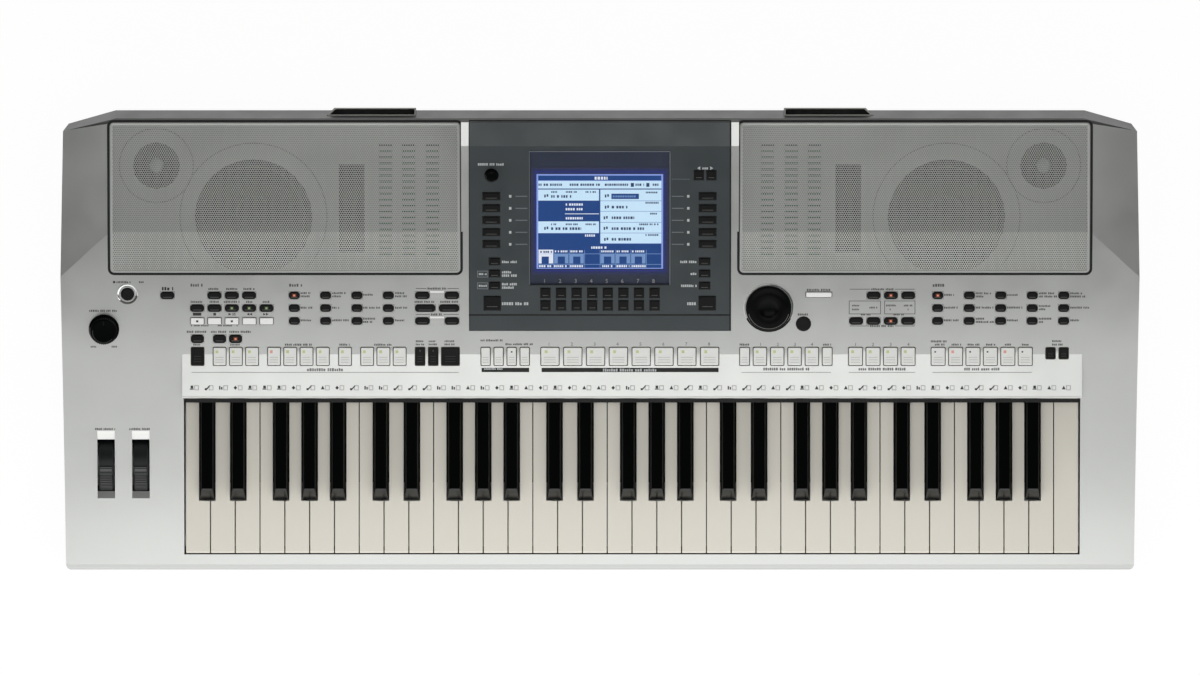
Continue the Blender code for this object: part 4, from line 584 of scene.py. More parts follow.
def make_stage():
    """A pale floor, a soft lamp overhead, a lower one in front and a plain pale surround."""
    scene = bpy.context.scene
    camera = bpy.data.objects.new("camera", bpy.data.cameras.new("camera"))
    scene.collection.objects.link(camera)
    camera.location = (0.0, CAMERA_Y, CAMERA_Z)
    camera.data.sensor_width = SENSOR
    camera.data.lens = SENSOR * (CAMERA_Z - KEY_PLANE_Z) / VIEW_W
    camera.data.clip_end = 100.0
    scene.camera = camera
    scene.view_settings.view_transform = "Standard"

    bm = bmesh.new()
    bmesh.ops.create_grid(bm, x_segments=1, y_segments=1, size=40.0)
    floor = bpy.data.objects.new("floor", mesh_from(bm))
    scene.collection.objects.link(floor)
    floor.location = (0, 0, -0.0002)
    made = bpy.data.materials.new("studio_floor")
    graph = Graph(made)
    shader = graph.nodes["Principled BSDF"]
    set_inputs(shader, {"Base Color": (0.90, 0.90, 0.90, 1), "Roughness": 0.8, "Specular IOR Level": 0.2})
    seen, rays = graph.add("Emission", Strength=1.03), graph.add("LightPath")
    first, second = graph.add("Math", "MAXIMUM"), graph.add("Math", "MAXIMUM")
    share, mixed = graph.add("Math", "MULTIPLY", FLOOR_GLOW), graph.add("MixShader")
    graph.join((rays, "Is Camera Ray", first, 0), (rays, "Is Glossy Ray", first, 1), (first, 0, second, 0),
               (rays, "Is Transmission Ray", second, 1), (second, 0, share, 0), (share, 0, mixed, "Fac"),
               (shader, 0, mixed, 1), (seen, 0, mixed, 2),
               (mixed, 0, graph.nodes["Material Output"], "Surface"))
    floor.data.materials.append(made)

    for name, size, spot, watts in LAMPS:
        lamp = bpy.data.objects.new(name, bpy.data.lights.new(name, "AREA"))
        scene.collection.objects.link(lamp)
        lamp.data.shape = "RECTANGLE"
        lamp.data.size, lamp.data.size_y = size
        lamp.data.energy = watts
        lamp.location = spot
        lamp.visible_camera = False

    scene.world = bpy.data.worlds.new("surround")
    graph = Graph(scene.world)
    where, parts = graph.add("TexCoord"), graph.add("SeparateXYZ")
    low = graph.add("MapRange", From_Min=-1.0, To_Min=WORLD_FRONT, To_Max=WORLD_REAR)
    rise = graph.add("MapRange", From_Min=WORLD_RISE[0], From_Max=WORLD_RISE[1], To_Max=WORLD_TOP)
    rise.interpolation_type = "SMOOTHSTEP"
    light = graph.nodes["Background"]
    graph.join((where, "Generated", parts, "Vector"), (parts, "Y", low, "Value"), (parts, "Z", rise, "Value"),
               (low, "Result", rise, "To Min"), (rise, "Result", light, "Strength"))
    set_inputs(light, {"Color": (1, 1, 1, 1)})


def make_casing():
    """The moulded top with rounded edges, and the tray under it."""
    bm = welded("upper_case")
    shortest, high = 0.006, 0.09

    def long(e):
        return (e.verts[0].co - e.verts[1].co).length > shortest

    def on_ledge_front(e):
        a, b = (v.co for v in e.verts)
        return long(e) and abs(a.y - b.y) < 1e-5 and all(
            abs(v.y - LEDGE_FRONT_Y) < 1e-4 and abs(v.z - LEDGE_Z) < 1e-4 for v in (a, b))

    def outer(e):
        if not long(e) or e.calc_face_angle(0.0) < math.radians(3.0):
            return False
        for v in e.verts:
            x, y, z = v.co
            top = max(side_z(y) if y > LEDGE_REAR_Y else cheek_z(y), 0)
            near_top = min(abs(z - top), abs(z - centre_z(y)), abs(z - LEDGE_Z)) < 0.0008
            rim = abs(x) > 0.440 and z > 0.036 and y > 0.09
            back = y > RIDGE_Y - 0.001 and z > 0.10
            if not (near_top or rim or back):
                return False
        return True

    def cut(faces, spot, across):
        """Splits the faces along a plane, so that the painted shade at the rear can start there."""
        geom = {v for f in faces for v in f.verts} | {e for f in faces for e in f.edges} | set(faces)
        bmesh.ops.bisect_plane(bm, geom=list(geom), dist=1e-6, plane_co=spot, plane_no=across)

    def settle_order():
        """Sorts the mesh by position: bevels and cuts leave its order to chance in each run."""
        for parts, key in ((bm.verts, lambda v: v.co[:]),
                           (bm.edges, lambda e: sorted(v.index for v in e.verts)),
                           (bm.faces, lambda f: sorted(v.index for v in f.verts))):
            for place_in_row, part in enumerate(sorted(parts, key=key)):
                part.index = place_in_row
            parts.sort()

    round_edges(bm, on_ledge_front, 0.0022, 4)
    round_edges(bm, outer, 0.0005, 2)
    cut([f for f in bm.faces if f.calc_center_median().z > high and f.normal.z > 0.5],
        (0, RIDGE_BAND_Y, 0), (0, 1, 0))
    (ax, ay), (bx, by) = POD_LINE
    for side in (-1, 1):
        middles = ((f, f.calc_center_median()) for f in bm.faces)
        pod = [f for f, middle in middles if middle.z > high and side * middle.x > 0.45]
        cut(pod, (side * ax, ay, 0), (side * (by - ay), ax - bx, 0))
    settle_order()
    bm.normal_update()
    for face in bm.faces:
        x, y, z = face.calc_center_median()
        left = x < -0.41
        x = abs(x)
        beyond = (y - ay) * (ax - bx) + (x - ax) * (by - ay)
        # Painted shade on the rear-facing faces, the ridge's rear band and the pods behind their slanting
        # line
        dark = (face.normal.y > 0.3 and y > RIDGE_Y - 0.03 and z > 0.034
                or y > RIDGE_BAND_Y and z > 0.10 and x < 0.462
                or beyond > 0 and x > GRILLE_X[1] and z > high and y > 0.18)
        # Painted highlight on the left wheel slot's front-facing bevel
        slot = face.normal.y < -0.3 and face.normal.z > 0.2 and left and -0.105 < y < -0.06
        recess = (GRILLE_X[0] < x < GRILLE_X[1] and GRILLE_Y[0] < y < GRILLE_Y[1]
                  and 0.04 < z < side_z(y) - 0.002)
        face.material_index = 3 if recess else 1 if dark else 2 if slot else 0
    even_normals(place("casing_top", mesh_from(bm, 32), (SILVER, REAR_PAINTED_SHADE, SLOT_PAINTED_HIGHLIGHT, BAFFLE),
                       replaces=["upper_case"]))
    paint(CASE_BLACK, "black_case", "lower_case")


def honeycomb(x_span, y_span, height, thick):
    """A sheet of hexagonal cells, each with a hole through it, as (vertices, faces)."""
    verts, faces = [], []
    step = GRILLE_PITCH * math.sqrt(3) / 2
    rows = int((y_span[1] - y_span[0]) / step) + 1
    columns = int((x_span[1] - x_span[0]) / GRILLE_PITCH + 0.999)
    cell = GRILLE_PITCH / math.sqrt(3)
    spokes = [(math.cos(a), math.sin(a)) for a in (math.radians(30 + 60 * k) for k in range(6))]
    for j in range(rows):
        y = y_span[0] + (j + 0.5) * step
        for i in range(columns):
            x = x_span[0] + (i + (0.75 if j % 2 else 0.25)) * GRILLE_PITCH
            start = len(verts)
            for radius, offset in ((cell, 0.0), (GRILLE_HOLE, 0.0), (GRILLE_HOLE, -thick)):
                for c, s in spokes:
                    py = y + radius * s
                    verts.append((x + radius * c, py, height(py) + offset))
            for k in range(6):
                n = (k + 1) % 6
                for ring in (start, start + 6):
                    faces.append((ring + k, ring + n, ring + 6 + n, ring + 6 + k))
    return verts, faces


def rounded_loop(x, y, radius, steps=5):
    """Corner points of a rounded rectangle, counter-clockwise."""
    points = []
    for cx, cy, turn in ((x[1] - radius, y[1] - radius, 0), (x[0] + radius, y[1] - radius, 90),
                         (x[0] + radius, y[0] + radius, 180), (x[1] - radius, y[0] + radius, 270)):
        for i in range(steps + 1):
            a = math.radians(turn + 90 * i / steps)
            points.append((cx + radius * math.cos(a), cy + radius * math.sin(a)))
    return points


def with_breaks(points, breaks):
    """Adds a point wherever a closed loop crosses one of the given y places."""
    result = []
    for a, b in zip(points, points[1:] + points[:1]):
        result.append(a)
        for line in sorted(breaks, reverse=a[1] > b[1]):
            if min(a[1], b[1]) + 1e-6 < line < max(a[1], b[1]) - 1e-6:
                share = (line - a[1]) / (b[1] - a[1])
                result.append((a[0] + (b[0] - a[0]) * share, line))
    return result


def ring_mesh(x, y, profile):
    """A moulding round a grille that follows the casing's slopes: its profile is (inset, height) points."""
    bm = bmesh.new()
    loops = []
    for inset, rise in profile:
        r = max(GRILLE_R - inset, 0.0006)
        points = rounded_loop((x[0] + inset, x[1] - inset), (y[0] + inset, y[1] - inset), r)
        points = with_breaks(points, (CREASE_Y,))
        loops.append([bm.verts.new((px, py, side_z(py) + rise)) for px, py in points])
    bridge(bm, loops + loops[:1])
    bmesh.ops.recalc_face_normals(bm, faces=bm.faces)
    return mesh_from(bm, 50)


def make_grilles():
    """Perforated sheets over the speakers, with what shows through them."""
    for side, hand in ((-1, "left"), (1, "right")):
        x = sorted((side * GRILLE_X[0], side * GRILLE_X[1]))
        x = (x[0] + GAP, x[1] - GAP)
        y = (GRILLE_Y[0] + GAP, GRILLE_Y[1] - GAP)
        start, end = x[0] + GRILLE_RIM, x[1] - GRILLE_RIM
        middle = start + GRILLE_PITCH * round((end - start) / 2 / GRILLE_PITCH)
        for part, span in enumerate(((start, middle), (middle, end)), 1):
            mesh = mesh_of(*honeycomb(span, (y[0] + GRILLE_RIM, y[1] - GRILLE_RIM),
                                      lambda v: side_z(v) - 0.0004, 0.0007))
            bm = bmesh.new()
            bm.from_mesh(mesh)
            bmesh.ops.remove_doubles(bm, verts=bm.verts, dist=WELD)
            bpy.data.meshes.remove(mesh)
            for face in bm.faces:
                # The part before the crease gets the paler paint: painted light
                face.material_index = int(face.calc_center_median().y < CREASE_Y)
            place(f"{hand}_grille_sheet_{part}", mesh_from(bm), (GRILLE, GRILLE_FRONT_LIGHT), "case", "grille_mesh",
                  [f"{hand}_speaker_grille"])
        edge = [(0.0, -PLATE_T), (0.0, -0.0003), (0.0003, 0.0), (0.0014, 0.0), (0.0022, -0.0004),
                (0.0022, -PLATE_T)]
        place(f"{hand}_grille_edge", ring_mesh(x, y, edge), GRILLE, "case", "grille_mesh")
        gasket = [(-0.0020, -0.0001), (-0.0020, 0.00006), (GAP, 0.00006), (GAP, -PLATE_T)]
        ring = ring_mesh((x[0] - GAP, x[1] + GAP), (y[0] - GAP, y[1] + GAP), gasket)
        place(f"{hand}_grille_gasket", ring, BLACK_GAP_AND_SHADE, "case", "grille_mesh")
        make_speaker(side, hand)


def make_speaker(side, hand):
    """The finer parts of both speakers, the rings of painted shade round them and the ribs of the vents."""
    paint(PAPER, "speaker", f"{hand}_woofer", f"{hand}_tweeter")
    y0, y1 = WOOFER[1] - 0.066, WOOFER[1] + 0.066
    z = (side_z(y0) + side_z(y1)) / 2 - SPEAKER_BELOW
    tilt = math.atan2(side_z(y1) - side_z(y0), y1 - y0)
    woofer = Matrix.Translation((side * WOOFER[0], WOOFER[1], z)) @ Matrix.Rotation(tilt, 4, "X")
    z = side_z(TWEETER[1]) - SPEAKER_BELOW
    tweeter = Matrix.Translation((side * TWEETER[0], TWEETER[1], z)) @ Matrix.Rotation(BACK_TILT, 4, "X")
    surround = [(0.0540, 0.0000), (0.0528, 0.0014), (0.0505, 0.0022), (0.0482, 0.0014), (0.0470, -0.0012),
                (0.0472, -0.0020), (0.0505, -0.0004), (0.0538, -0.0010), (0.0540, 0.0000)]
    woofer_cap = [(0.0, -0.0085), (0.006, -0.0092), (0.012, -0.0120), (0.0165, -0.0165), (0.0168, -0.0200),
                  (0.0, -0.0200)]
    tweeter_cap = [(0.0, 0.0056), (0.003, 0.0051), (0.0055, 0.0035), (0.0066, 0.0010), (0.0066, -0.0055),
                   (0.0, -0.0055)]
    for name, profile, steps, axes, finish in (("woofer_surround", surround, 64, woofer, CONE_DARK),
                                               ("woofer_cap", woofer_cap, 40, woofer, CONE_DARK),
                                               ("tweeter_cap", tweeter_cap, 32, tweeter, DUST_CAP)):
        place(f"{hand}_{name}", turned(profile, steps, axes), finish, "case", "speaker")

    def baffle_z(y):
        return side_z(y) - BAFFLE_BELOW

    steps = 96
    for name, (cx, cy), radius in (("woofer", WOOFER, 0.0686), ("tweeter", TWEETER, 0.0345)):
        # A dark ring on the baffle round each speaker: painted shade
        groove = Marks(baffle_z, 0.0003)
        inside, outside = radius - 0.0006, radius + 0.0006
        for i in range(steps):
            a, b = 2 * math.pi * i / steps, 2 * math.pi * (i + 1) / steps
            quad = [(side * cx + r * math.cos(t), cy + r * math.sin(t))
                    for r, t in ((inside, a), (outside, a), (outside, b), (inside, b))]
            if all(GRILLE_Y[0] + 0.004 < q[1] < GRILLE_Y[1] - 0.004 for q in quad):
                groove.prism(quad)
        groove.done(f"{hand}_{name}_ring", RING_SHADE)
    ribs = Marks(baffle_z, 0.0002, (CREASE_Y,))
    for x in (0.1563, 0.1786, 0.2001):
        for i in range(19):
            y = 0.0752 + 0.00562 * i
            ribs.bar(side * x - 0.0059, side * x + 0.0059, y, y + 0.0036)
    ribs.done(f"{hand}_vent_ribs", BAFFLE)


def strip_axes(slope):
    """A strip's axes, with the rear edge of the ledge as their start."""
    return Matrix.Translation((0, LEDGE_REAR_Y, LEDGE_Z)) @ Matrix.Rotation(slope, 4, "X")


PAD_STRIPS = ("style_control_buttons", "registration_buttons", "multi_pad_buttons", "one_touch_buttons",
              "voice_control_buttons")
LEDGE_STRIPS = (PAD_STRIPS[0], "sync_start_buttons", *PAD_STRIPS[1:])
PANEL_STRIPS = ("song_buttons", "style_select_buttons", "tempo_buttons", "fade_and_fill_buttons",
                "part_select_buttons", "voice_buttons")
CENTRE_STRIPS = ("display_left_buttons", "display_right_buttons", "display_lower_buttons")


def keytops(node, slope, rise):
    """Each keytop's (x0, x1, v0, v1) in its strip's own axes, read from the CAD node's top faces."""
    bm = bmesh.new()
    bm.from_mesh(NODES[node].data)
    bmesh.ops.remove_doubles(bm, verts=bm.verts, dist=WELD)
    bm.transform(strip_axes(slope).inverted())
    high = {v for v in bm.verts if abs(v.co.z - rise) < 2e-5}
    found, seen = [], set()
    for v in high:
        if v in seen:
            continue
        group, queue = set(), [v]
        while queue:
            here = queue.pop()
            if here in group:
                continue
            group.add(here)
            queue += [e.other_vert(here) for e in here.link_edges if e.other_vert(here) in high]
        seen |= group
        xs, vs = [w.co.x for w in group], [w.co.y for w in group]
        found.append((min(xs), max(xs), min(vs), max(vs)))
    bm.free()
    return sorted(found, key=lambda k: (-round((k[2] + k[3]) / 2, 3), k[0]))


def add_keytop(bm, axes, span, low, high, radius, finish):
    """A rounded keytop: upright sides, and a top whose rim rolls over."""
    x0, x1, v0, v1 = span
    ease = 0.0007
    loops = []
    for inset, z in ((0.0, low), (0.0, high - ease), (0.12 * ease, high - 0.5 * ease),
                     (0.42 * ease, high - 0.16 * ease), (ease, high)):
        corner = max(radius - inset, 0.0002)
        points = rounded_loop((x0 + inset, x1 - inset), (v0 + inset, v1 - inset), corner, 4)
        loops.append([bm.verts.new(axes @ Vector((x, v, z))) for x, v in points])
    for face in [bm.faces.new(loops[-1]), bm.faces.new(loops[0][::-1])] + bridge(bm, loops):
        face.material_index = finish


def make_strip(node, slope, rise, tops, other):
    """A strip's moulded runner, cut from its CAD shape, with finer keytops on it."""
    axes = strip_axes(slope)
    bm = welded(node)
    cut = bmesh.ops.bisect_plane(
        bm, geom=bm.verts[:] + bm.edges[:] + bm.faces[:], dist=1e-7,
        plane_co=axes @ Vector((0, 0, RUNNER_TOP + 0.0003)), plane_no=axes.to_3x3() @ Vector((0, 0, 1)),
        clear_outer=True)
    rim = [g for g in cut["geom_cut"] if isinstance(g, bmesh.types.BMEdge)]
    if rim:
        bmesh.ops.edgeloop_fill(bm, edges=rim)
    for span in tops:
        if node in PANEL_STRIPS:
            corner = WHITE_CORNER if span in other else PANEL_CORNER
        else:
            corner = LEDGE_CORNER if node in LEDGE_STRIPS else CENTRE_CORNER
        add_keytop(bm, axes, span, RUNNER_TOP + 0.0001, rise, corner, int(span in other))
    white = node in PAD_STRIPS
    even_normals(place(f"{node}_set", mesh_from(bm, 40),
                       (WHITE_BUTTON, BLACK_BUTTON) if white else (BLACK_BUTTON, BRIGHT_WHITE_AND_HIGHLIGHT),
                       body_of(node), "white_button" if white else "black_button", [node]))


class Tops:
    """Thin details on keytops or knobs, in their own axes."""

    def __init__(self, axes, top, sink=0.0001):
        self.axes = axes
        self.top = top
        self.sink = sink
        self.verts = []
        self.faces = []

    def block(self, x0, x1, v0, v1, lift=0.00012):
        """A box that stands out of the top by a little."""
        start = len(self.verts)
        for z in (self.top - self.sink, self.top + lift):
            for x, v in ((x0, v0), (x1, v0), (x1, v1), (x0, v1)):
                self.verts.append(tuple(self.axes @ Vector((x, v, z))))
        self.faces += [[start + i for i in f] for f in
                       ((3, 2, 1, 0), (4, 5, 6, 7), (0, 1, 5, 4), (1, 2, 6, 5), (2, 3, 7, 6), (3, 0, 4, 7))]

    def done(self, name, material, body, slot):
        if self.verts:
            place(name, mesh_of(self.verts, self.faces), material, body, slot)


# The kinds of detail on keytops, each with its finish; the edge highlights are painted highlight lines
DETAILS = (("lines", RIB_DARK), ("edge_highlights", EDGE_HIGHLIGHT), ("ribs", RIB_PALE), ("lights", LED_DIM),
           ("green_halos", HALO_GREEN), ("red_halos", HALO_RED), ("lit_lights", LED_LIT),
           ("red_lights", LED_RED), ("lit_pads", LED_PINK), ("dots", INK_BOLD))
# Lines across a keytop, by whether it is white and on the ledge: kind, places, margin, half width; on the
# ledge they are moulded, on the other black keytops a painted highlight near the lower edge
RIDGES = {
    (True, True): ("ribs", (0.16, 0.30, 0.44), 0.16, 0.0002),
    (False, True): ("lines", (0.2, 0.35, 0.5), 0.2, 0.00015),
    (False, False): ("edge_highlights", (0.27,), 0.17, 0.00022),
}
# Lit indicators on the black buttons: strip, pixel, kind of light and of the glow round it
LIT = tuple(
    (strip, px, py, *kinds) for strip, kinds, pixels in (
        ("song_buttons", ("lit_lights", "green_halos"), ((232, 308), (249.3, 308), (266.5, 308))),
        ("style_select_buttons", ("red_lights", "red_halos"), ((294.5, 295),)),
        ("fade_and_fill_buttons", ("red_lights", "red_halos"), ((235.5, 338.7),)),
        ("part_select_buttons", ("red_lights", "red_halos"), ((890.7, 294.7), (890.7, 320.4))),
        ("voice_buttons", ("red_lights", "red_halos"), ((937.6, 294.7),)),
    ) for px, py in pixels)


def other_keytops(node, tops):
    """The keytops of a strip that have its second colour."""
    if node == "song_buttons":
        low = min(k[2] for k in tops)
        return [k for k in tops if k[2] < low + 0.003]
    if node == "part_select_buttons":
        return [k for k in tops if k[1] < 0.225 and k[1] - k[0] > 0.02]
    if node == "style_control_buttons":
        return [min(tops, key=lambda k: k[0])]
    if node == "voice_control_buttons":
        return [k for k in tops if k[1] - k[0] < 0.0100]
    return []


def make_buttons():
    """Every strip with its keytops, the dark outlines round them and the small details on them."""
    collars = Marks(ledge_z, 0.00012, (LEDGE_REAR_Y,))
    panel_collars = Marks(panel_z, 0.00010)
    centre_collars = Marks(panel_z, 0.00010)
    corners = Marks(panel_z, 0.00012)
    for node in PANEL_STRIPS + CENTRE_STRIPS + LEDGE_STRIPS:
        ledge = node in LEDGE_STRIPS
        slope, rise = (0.0, LEDGE_RISE) if ledge else (PANEL_TILT, PANEL_RISE)
        tops = keytops(node, slope, rise)
        other = other_keytops(node, tops)
        make_strip(node, slope, rise, tops, other)
        bits = {kind: Tops(strip_axes(slope), rise) for kind, _ in DETAILS}
        for k in tops:
            x0, x1, v0, v1 = k
            wide, deep = x1 - x0, v1 - v0
            white = (node in PAD_STRIPS) != (k in other)
            squeeze = math.cos(slope)
            box = (x0, x1, v0 * squeeze + LEDGE_REAR_Y, v1 * squeeze + LEDGE_REAR_Y)
            if ledge:
                collars.collar(*box, LEDGE_CORNER, LEDGE_OUTLINE)
            elif node in PANEL_STRIPS:
                radius = WHITE_CORNER if white else PANEL_CORNER
                panel_collars.collar(*box, radius, PANEL_OUTLINE)
                corners.corner_fills(*box, radius, PANEL_OUTLINE)
            else:
                centre_collars.collar(*box, CENTRE_CORNER, CENTRE_OUTLINE)
            if (white, ledge) in RIDGES:
                kind, shares, margin, half = RIDGES[white, ledge]
                for share in shares:
                    v = v0 + share * deep
                    bits[kind].block(x0 + margin * wide, x1 - margin * wide, v - half, v + half)
        if node in PAD_STRIPS:
            place_pad_lights(node, tops, other, bits)
        if node == "sync_start_buttons":
            for x0, x1, _, v1 in tops[:2]:
                x = (x0 + x1) / 2
                bits["lines"].block(x - 0.0007, x + 0.0007, v1 - 0.0038, v1 - 0.0024)

        def middle(px, py):
            """The middle of the keytop that a pixel of the photograph shows."""
            x, y = photo_point(px, py, ledge_z if ledge else panel_z)
            v = (y - LEDGE_REAR_Y) / math.cos(slope)
            spots = [((k[0] + k[1]) / 2, (k[2] + k[3]) / 2) for k in tops]
            return min(spots, key=lambda spot: math.hypot(spot[0] - x, spot[1] - v))

        for strip, px, py, light, halo in LIT:
            if strip == node:
                x, v = middle(px, py)
                bits[halo].block(x - 0.0019, x + 0.0019, v - 0.0014, v + 0.0020, 0.00010)
                bits[light].block(x - 0.0009, x + 0.0009, v - 0.0006, v + 0.0011, 0.00022)
        if node == "song_buttons":
            for px in (197.6, 232.2):
                x, v = middle(px, 320.7)
                bits["dots"].block(x - 0.0010, x + 0.0010, v - 0.0009, v + 0.0009)
        for kind, finish in DETAILS:
            bits[kind].done(f"{node}_{kind}", finish, body_of(node),
                            "white_button" if node in PAD_STRIPS else "black_button")
    collars.done("pad_collars", OUTLINE, "black_button")
    panel_collars.done("button_collars", BLACK_GAP_AND_SHADE, "black_button")
    centre_collars.done("centre_collars", BLACK_GAP_AND_SHADE, "black_button")
    corners.done("button_corners", SILVER)


def place_pad_lights(node, tops, other, bits):
    """The small lights at the pads' upper left corners; some are lit and some dark."""
    pads = sorted((k for k in tops if k not in other), key=lambda k: k[0])
    for index, (x0, x1, _, v1) in enumerate(pads):
        kind = "lights"
        if node == "style_control_buttons" and index == 3:
            kind = "lit_pads"
        if node == "registration_buttons" and index < 4:
            kind = "dots" if index == 2 else None
        if node == "multi_pad_buttons" and index in (0, 5):
            kind = None
        if node == "voice_control_buttons":
            kind = "lit_pads" if index in (1, 4) else "dots"
        if kind is None:
            continue
        wide = x1 - x0
        x = x0 + 0.28 * wide if wide > 0.0095 else (x0 + x1) / 2
        size = 0.0007 if kind == "dots" else 0.0013
        v = v1 - 0.0040
        bits[kind].block(x - size, x + size, v - size, v + size, 0.00014)


def make_keys():
    """The key combs with their rounded edges, and the frame and board under them."""
    def on_white(e):
        a, b = (v.co for v in e.verts)
        if e.calc_face_angle(0.0) < math.radians(20):
            return False
        top = KEY_TOP_Z
        rim = abs(a.z - top) < 1e-4 and abs(b.z - top) < 1e-4 and min(a.y, b.y) > -0.21
        tails = max(a.y, b.y) > -0.036
        upright = (a.xy - b.xy).length < 0.0015 and min(a.y, b.y) < -0.19 and max(a.z, b.z) > top - 0.003
        lip = abs(a.z - b.z) < 1e-4 and abs(a.y - b.y) < 1e-4 and a.y < -0.198 and a.z > top - 0.002
        return (rim and not tails) or upright or lip

    def on_black(e):
        a, b = (v.co for v in e.verts)
        high = max(a.z, b.z) > KEY_TOP_Z + 0.011
        return high and e.calc_face_angle(0.0) > math.radians(15) and max(a.y, b.y) < -0.030

    for n in range(1, 6):
        for node in (f"white_keys_outer_{n}", f"white_keys_inner_{n}"):
            bm = welded(node)
            round_edges(bm, on_white, 0.00045, 3)
            even_normals(place(f"{node}_tops", mesh_from(bm, 40), WHITE_KEY, body_of(node), "white_key",
                               [node]))
        node = f"black_keys_{n}"
        bm = welded(node)
        round_edges(bm, on_black, 0.0008, 4)
        bm.normal_update()
        # Front-facing faces get the brighter, glossier copy: a painted highlight
        for face in bm.faces:
            face.material_index = int(face.normal.y < -0.3)
        even_normals(place(f"{node}_tops", mesh_from(bm, 45), (BLACK_KEY, BLACK_KEY_FRONT_HIGHLIGHT), body_of(node),
                           "black_key", [node]))
    low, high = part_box("keybed_frame")
    # Felt under the ledge's front edge, painted black as the shade over the keys' rear ends
    felt = Marks(lambda y: LEDGE_Z - 0.0078)
    felt.bar(low.x + 0.0012, high.x - 0.0012, LEDGE_FRONT_Y - 0.0036, LEDGE_FRONT_Y + 0.0030, low=0.0,
             high=0.0006)
    felt.done("key_guard_felt_painted_shade", BLACK_GAP_AND_SHADE, "black_case")
    paint(STEEL, "keybed_metal", "keybed_frame")
    paint(BOARD, "circuit_board", "key_contact_board")


def make_centre():
    """The dark cover round the display, with its marks, numbers and grooves."""
    bm = welded("center_panel")

    def edge(e):
        length = (e.verts[0].co - e.verts[1].co).length
        return length > 0.02 and e.calc_face_angle(0.0) > math.radians(3.0) and all(
            abs(v.co.z - centre_z(v.co.y)) < 2e-4 for v in e.verts)

    round_edges(bm, edge, 0.0004, 2)
    even_normals(place("centre_cover", mesh_from(bm, 35), DARK_PANEL, "case", "dark_panel", ["center_panel"]))
    marks = Marks(panel_z)
    thin = Marks(panel_z)
    draw = random.Random(7)
    thin.px(529.1, 670.3, 151.2, 151.9)
    for x in (529.1, 669.7):
        thin.px(x, x + 0.6, 151.9, 285.1)
    for i in range(5):
        y = 196.3 + 12.0 * i
        for x0, x1, dot in ((515.5, 527.3, 509.0), (671.8, 683.7, 687.1)):
            thin.px(x0, x1, y - 0.4, y + 0.4)
            marks.px(dot, dot + 2.4, y - 1.3, y + 1.3)
    for i in range(10):
        thin.px(671.8 + 1.85 * i, 672.8 + 1.85 * i, 178.8, 179.5)
    marks.words(477.9, 504.3, 164.4, 2.4, draw)
    for x0, x1, y in ((502, 516.7, 261.9), (502, 511.5, 272.2), (502, 516.7, 275.6), (502, 516.7, 284.2),
                      (502, 514.0, 287.6), (502, 529.0, 303.7), (680.3, 697.1, 261.9), (690.6, 697.1, 273.8),
                      (681.1, 697.1, 285.8), (687.2, 697.1, 303.7)):
        marks.words(x0, x1, y, 2.4 if y < 300 else 2.9, draw)
    for y in (274.1, 285.8):
        thin.frame(477.2, 488.2, y - 3.3, y + 3.3, 0.7)
        marks.words(478.8, 486.8, y, 2.0, draw)
    for tip, base in ((697.2, 700.2), (713.2, 710.2)):
        marks.px_shape((tip, 168.2), (base, 166.4), (base, 170.0))
    marks.words(702.4, 708.4, 168.2, 2.4, draw)
    marks.done("centre_print", INK_WHITE, "dark_panel")
    numbers = Marks(panel_z)
    for i in range(8):
        numbers.digit(str(i + 1), 544.6 + 15.54 * i, 281.2, 3.2)
    numbers.done("centre_numbers", LINE_GREY, "dark_panel")
    grooves = Marks(centre_z, 0.00006, (CENTRE_CREASE_Y,))
    for box in ((468.9, 730.8, 314.3, 315.8), (468.9, 469.9, 121.0, 330.4), (729.8, 730.8, 121.0, 330.4),
                (468.9, 730.8, 119.9, 121.3), (529.1, 670.3, 284.6, 285.4)):
        grooves.px(*box)
    grooves.done("centre_grooves", BLACK_GAP_AND_SHADE, "dark_panel")
    seams = Marks(lambda y: side_z(GRILLE_Y[1]) - 0.0014, 0.0004)
    for side in (-1, 1):
        x = sorted((side * (GRILLE_X[0] + 0.0012), side * (GRILLE_X[1] - 0.0008)))
        seams.bar(*x, GRILLE_Y[1] + 0.0003, GRILLE_Y[1] + 0.0013)
    seams.done("ridge_seams", BLACK_GAP_AND_SHADE)
    thin.done("centre_lines", surface("centre_line_print", srgb(120, 126, 130), 0.55), "dark_panel")
    make_display()


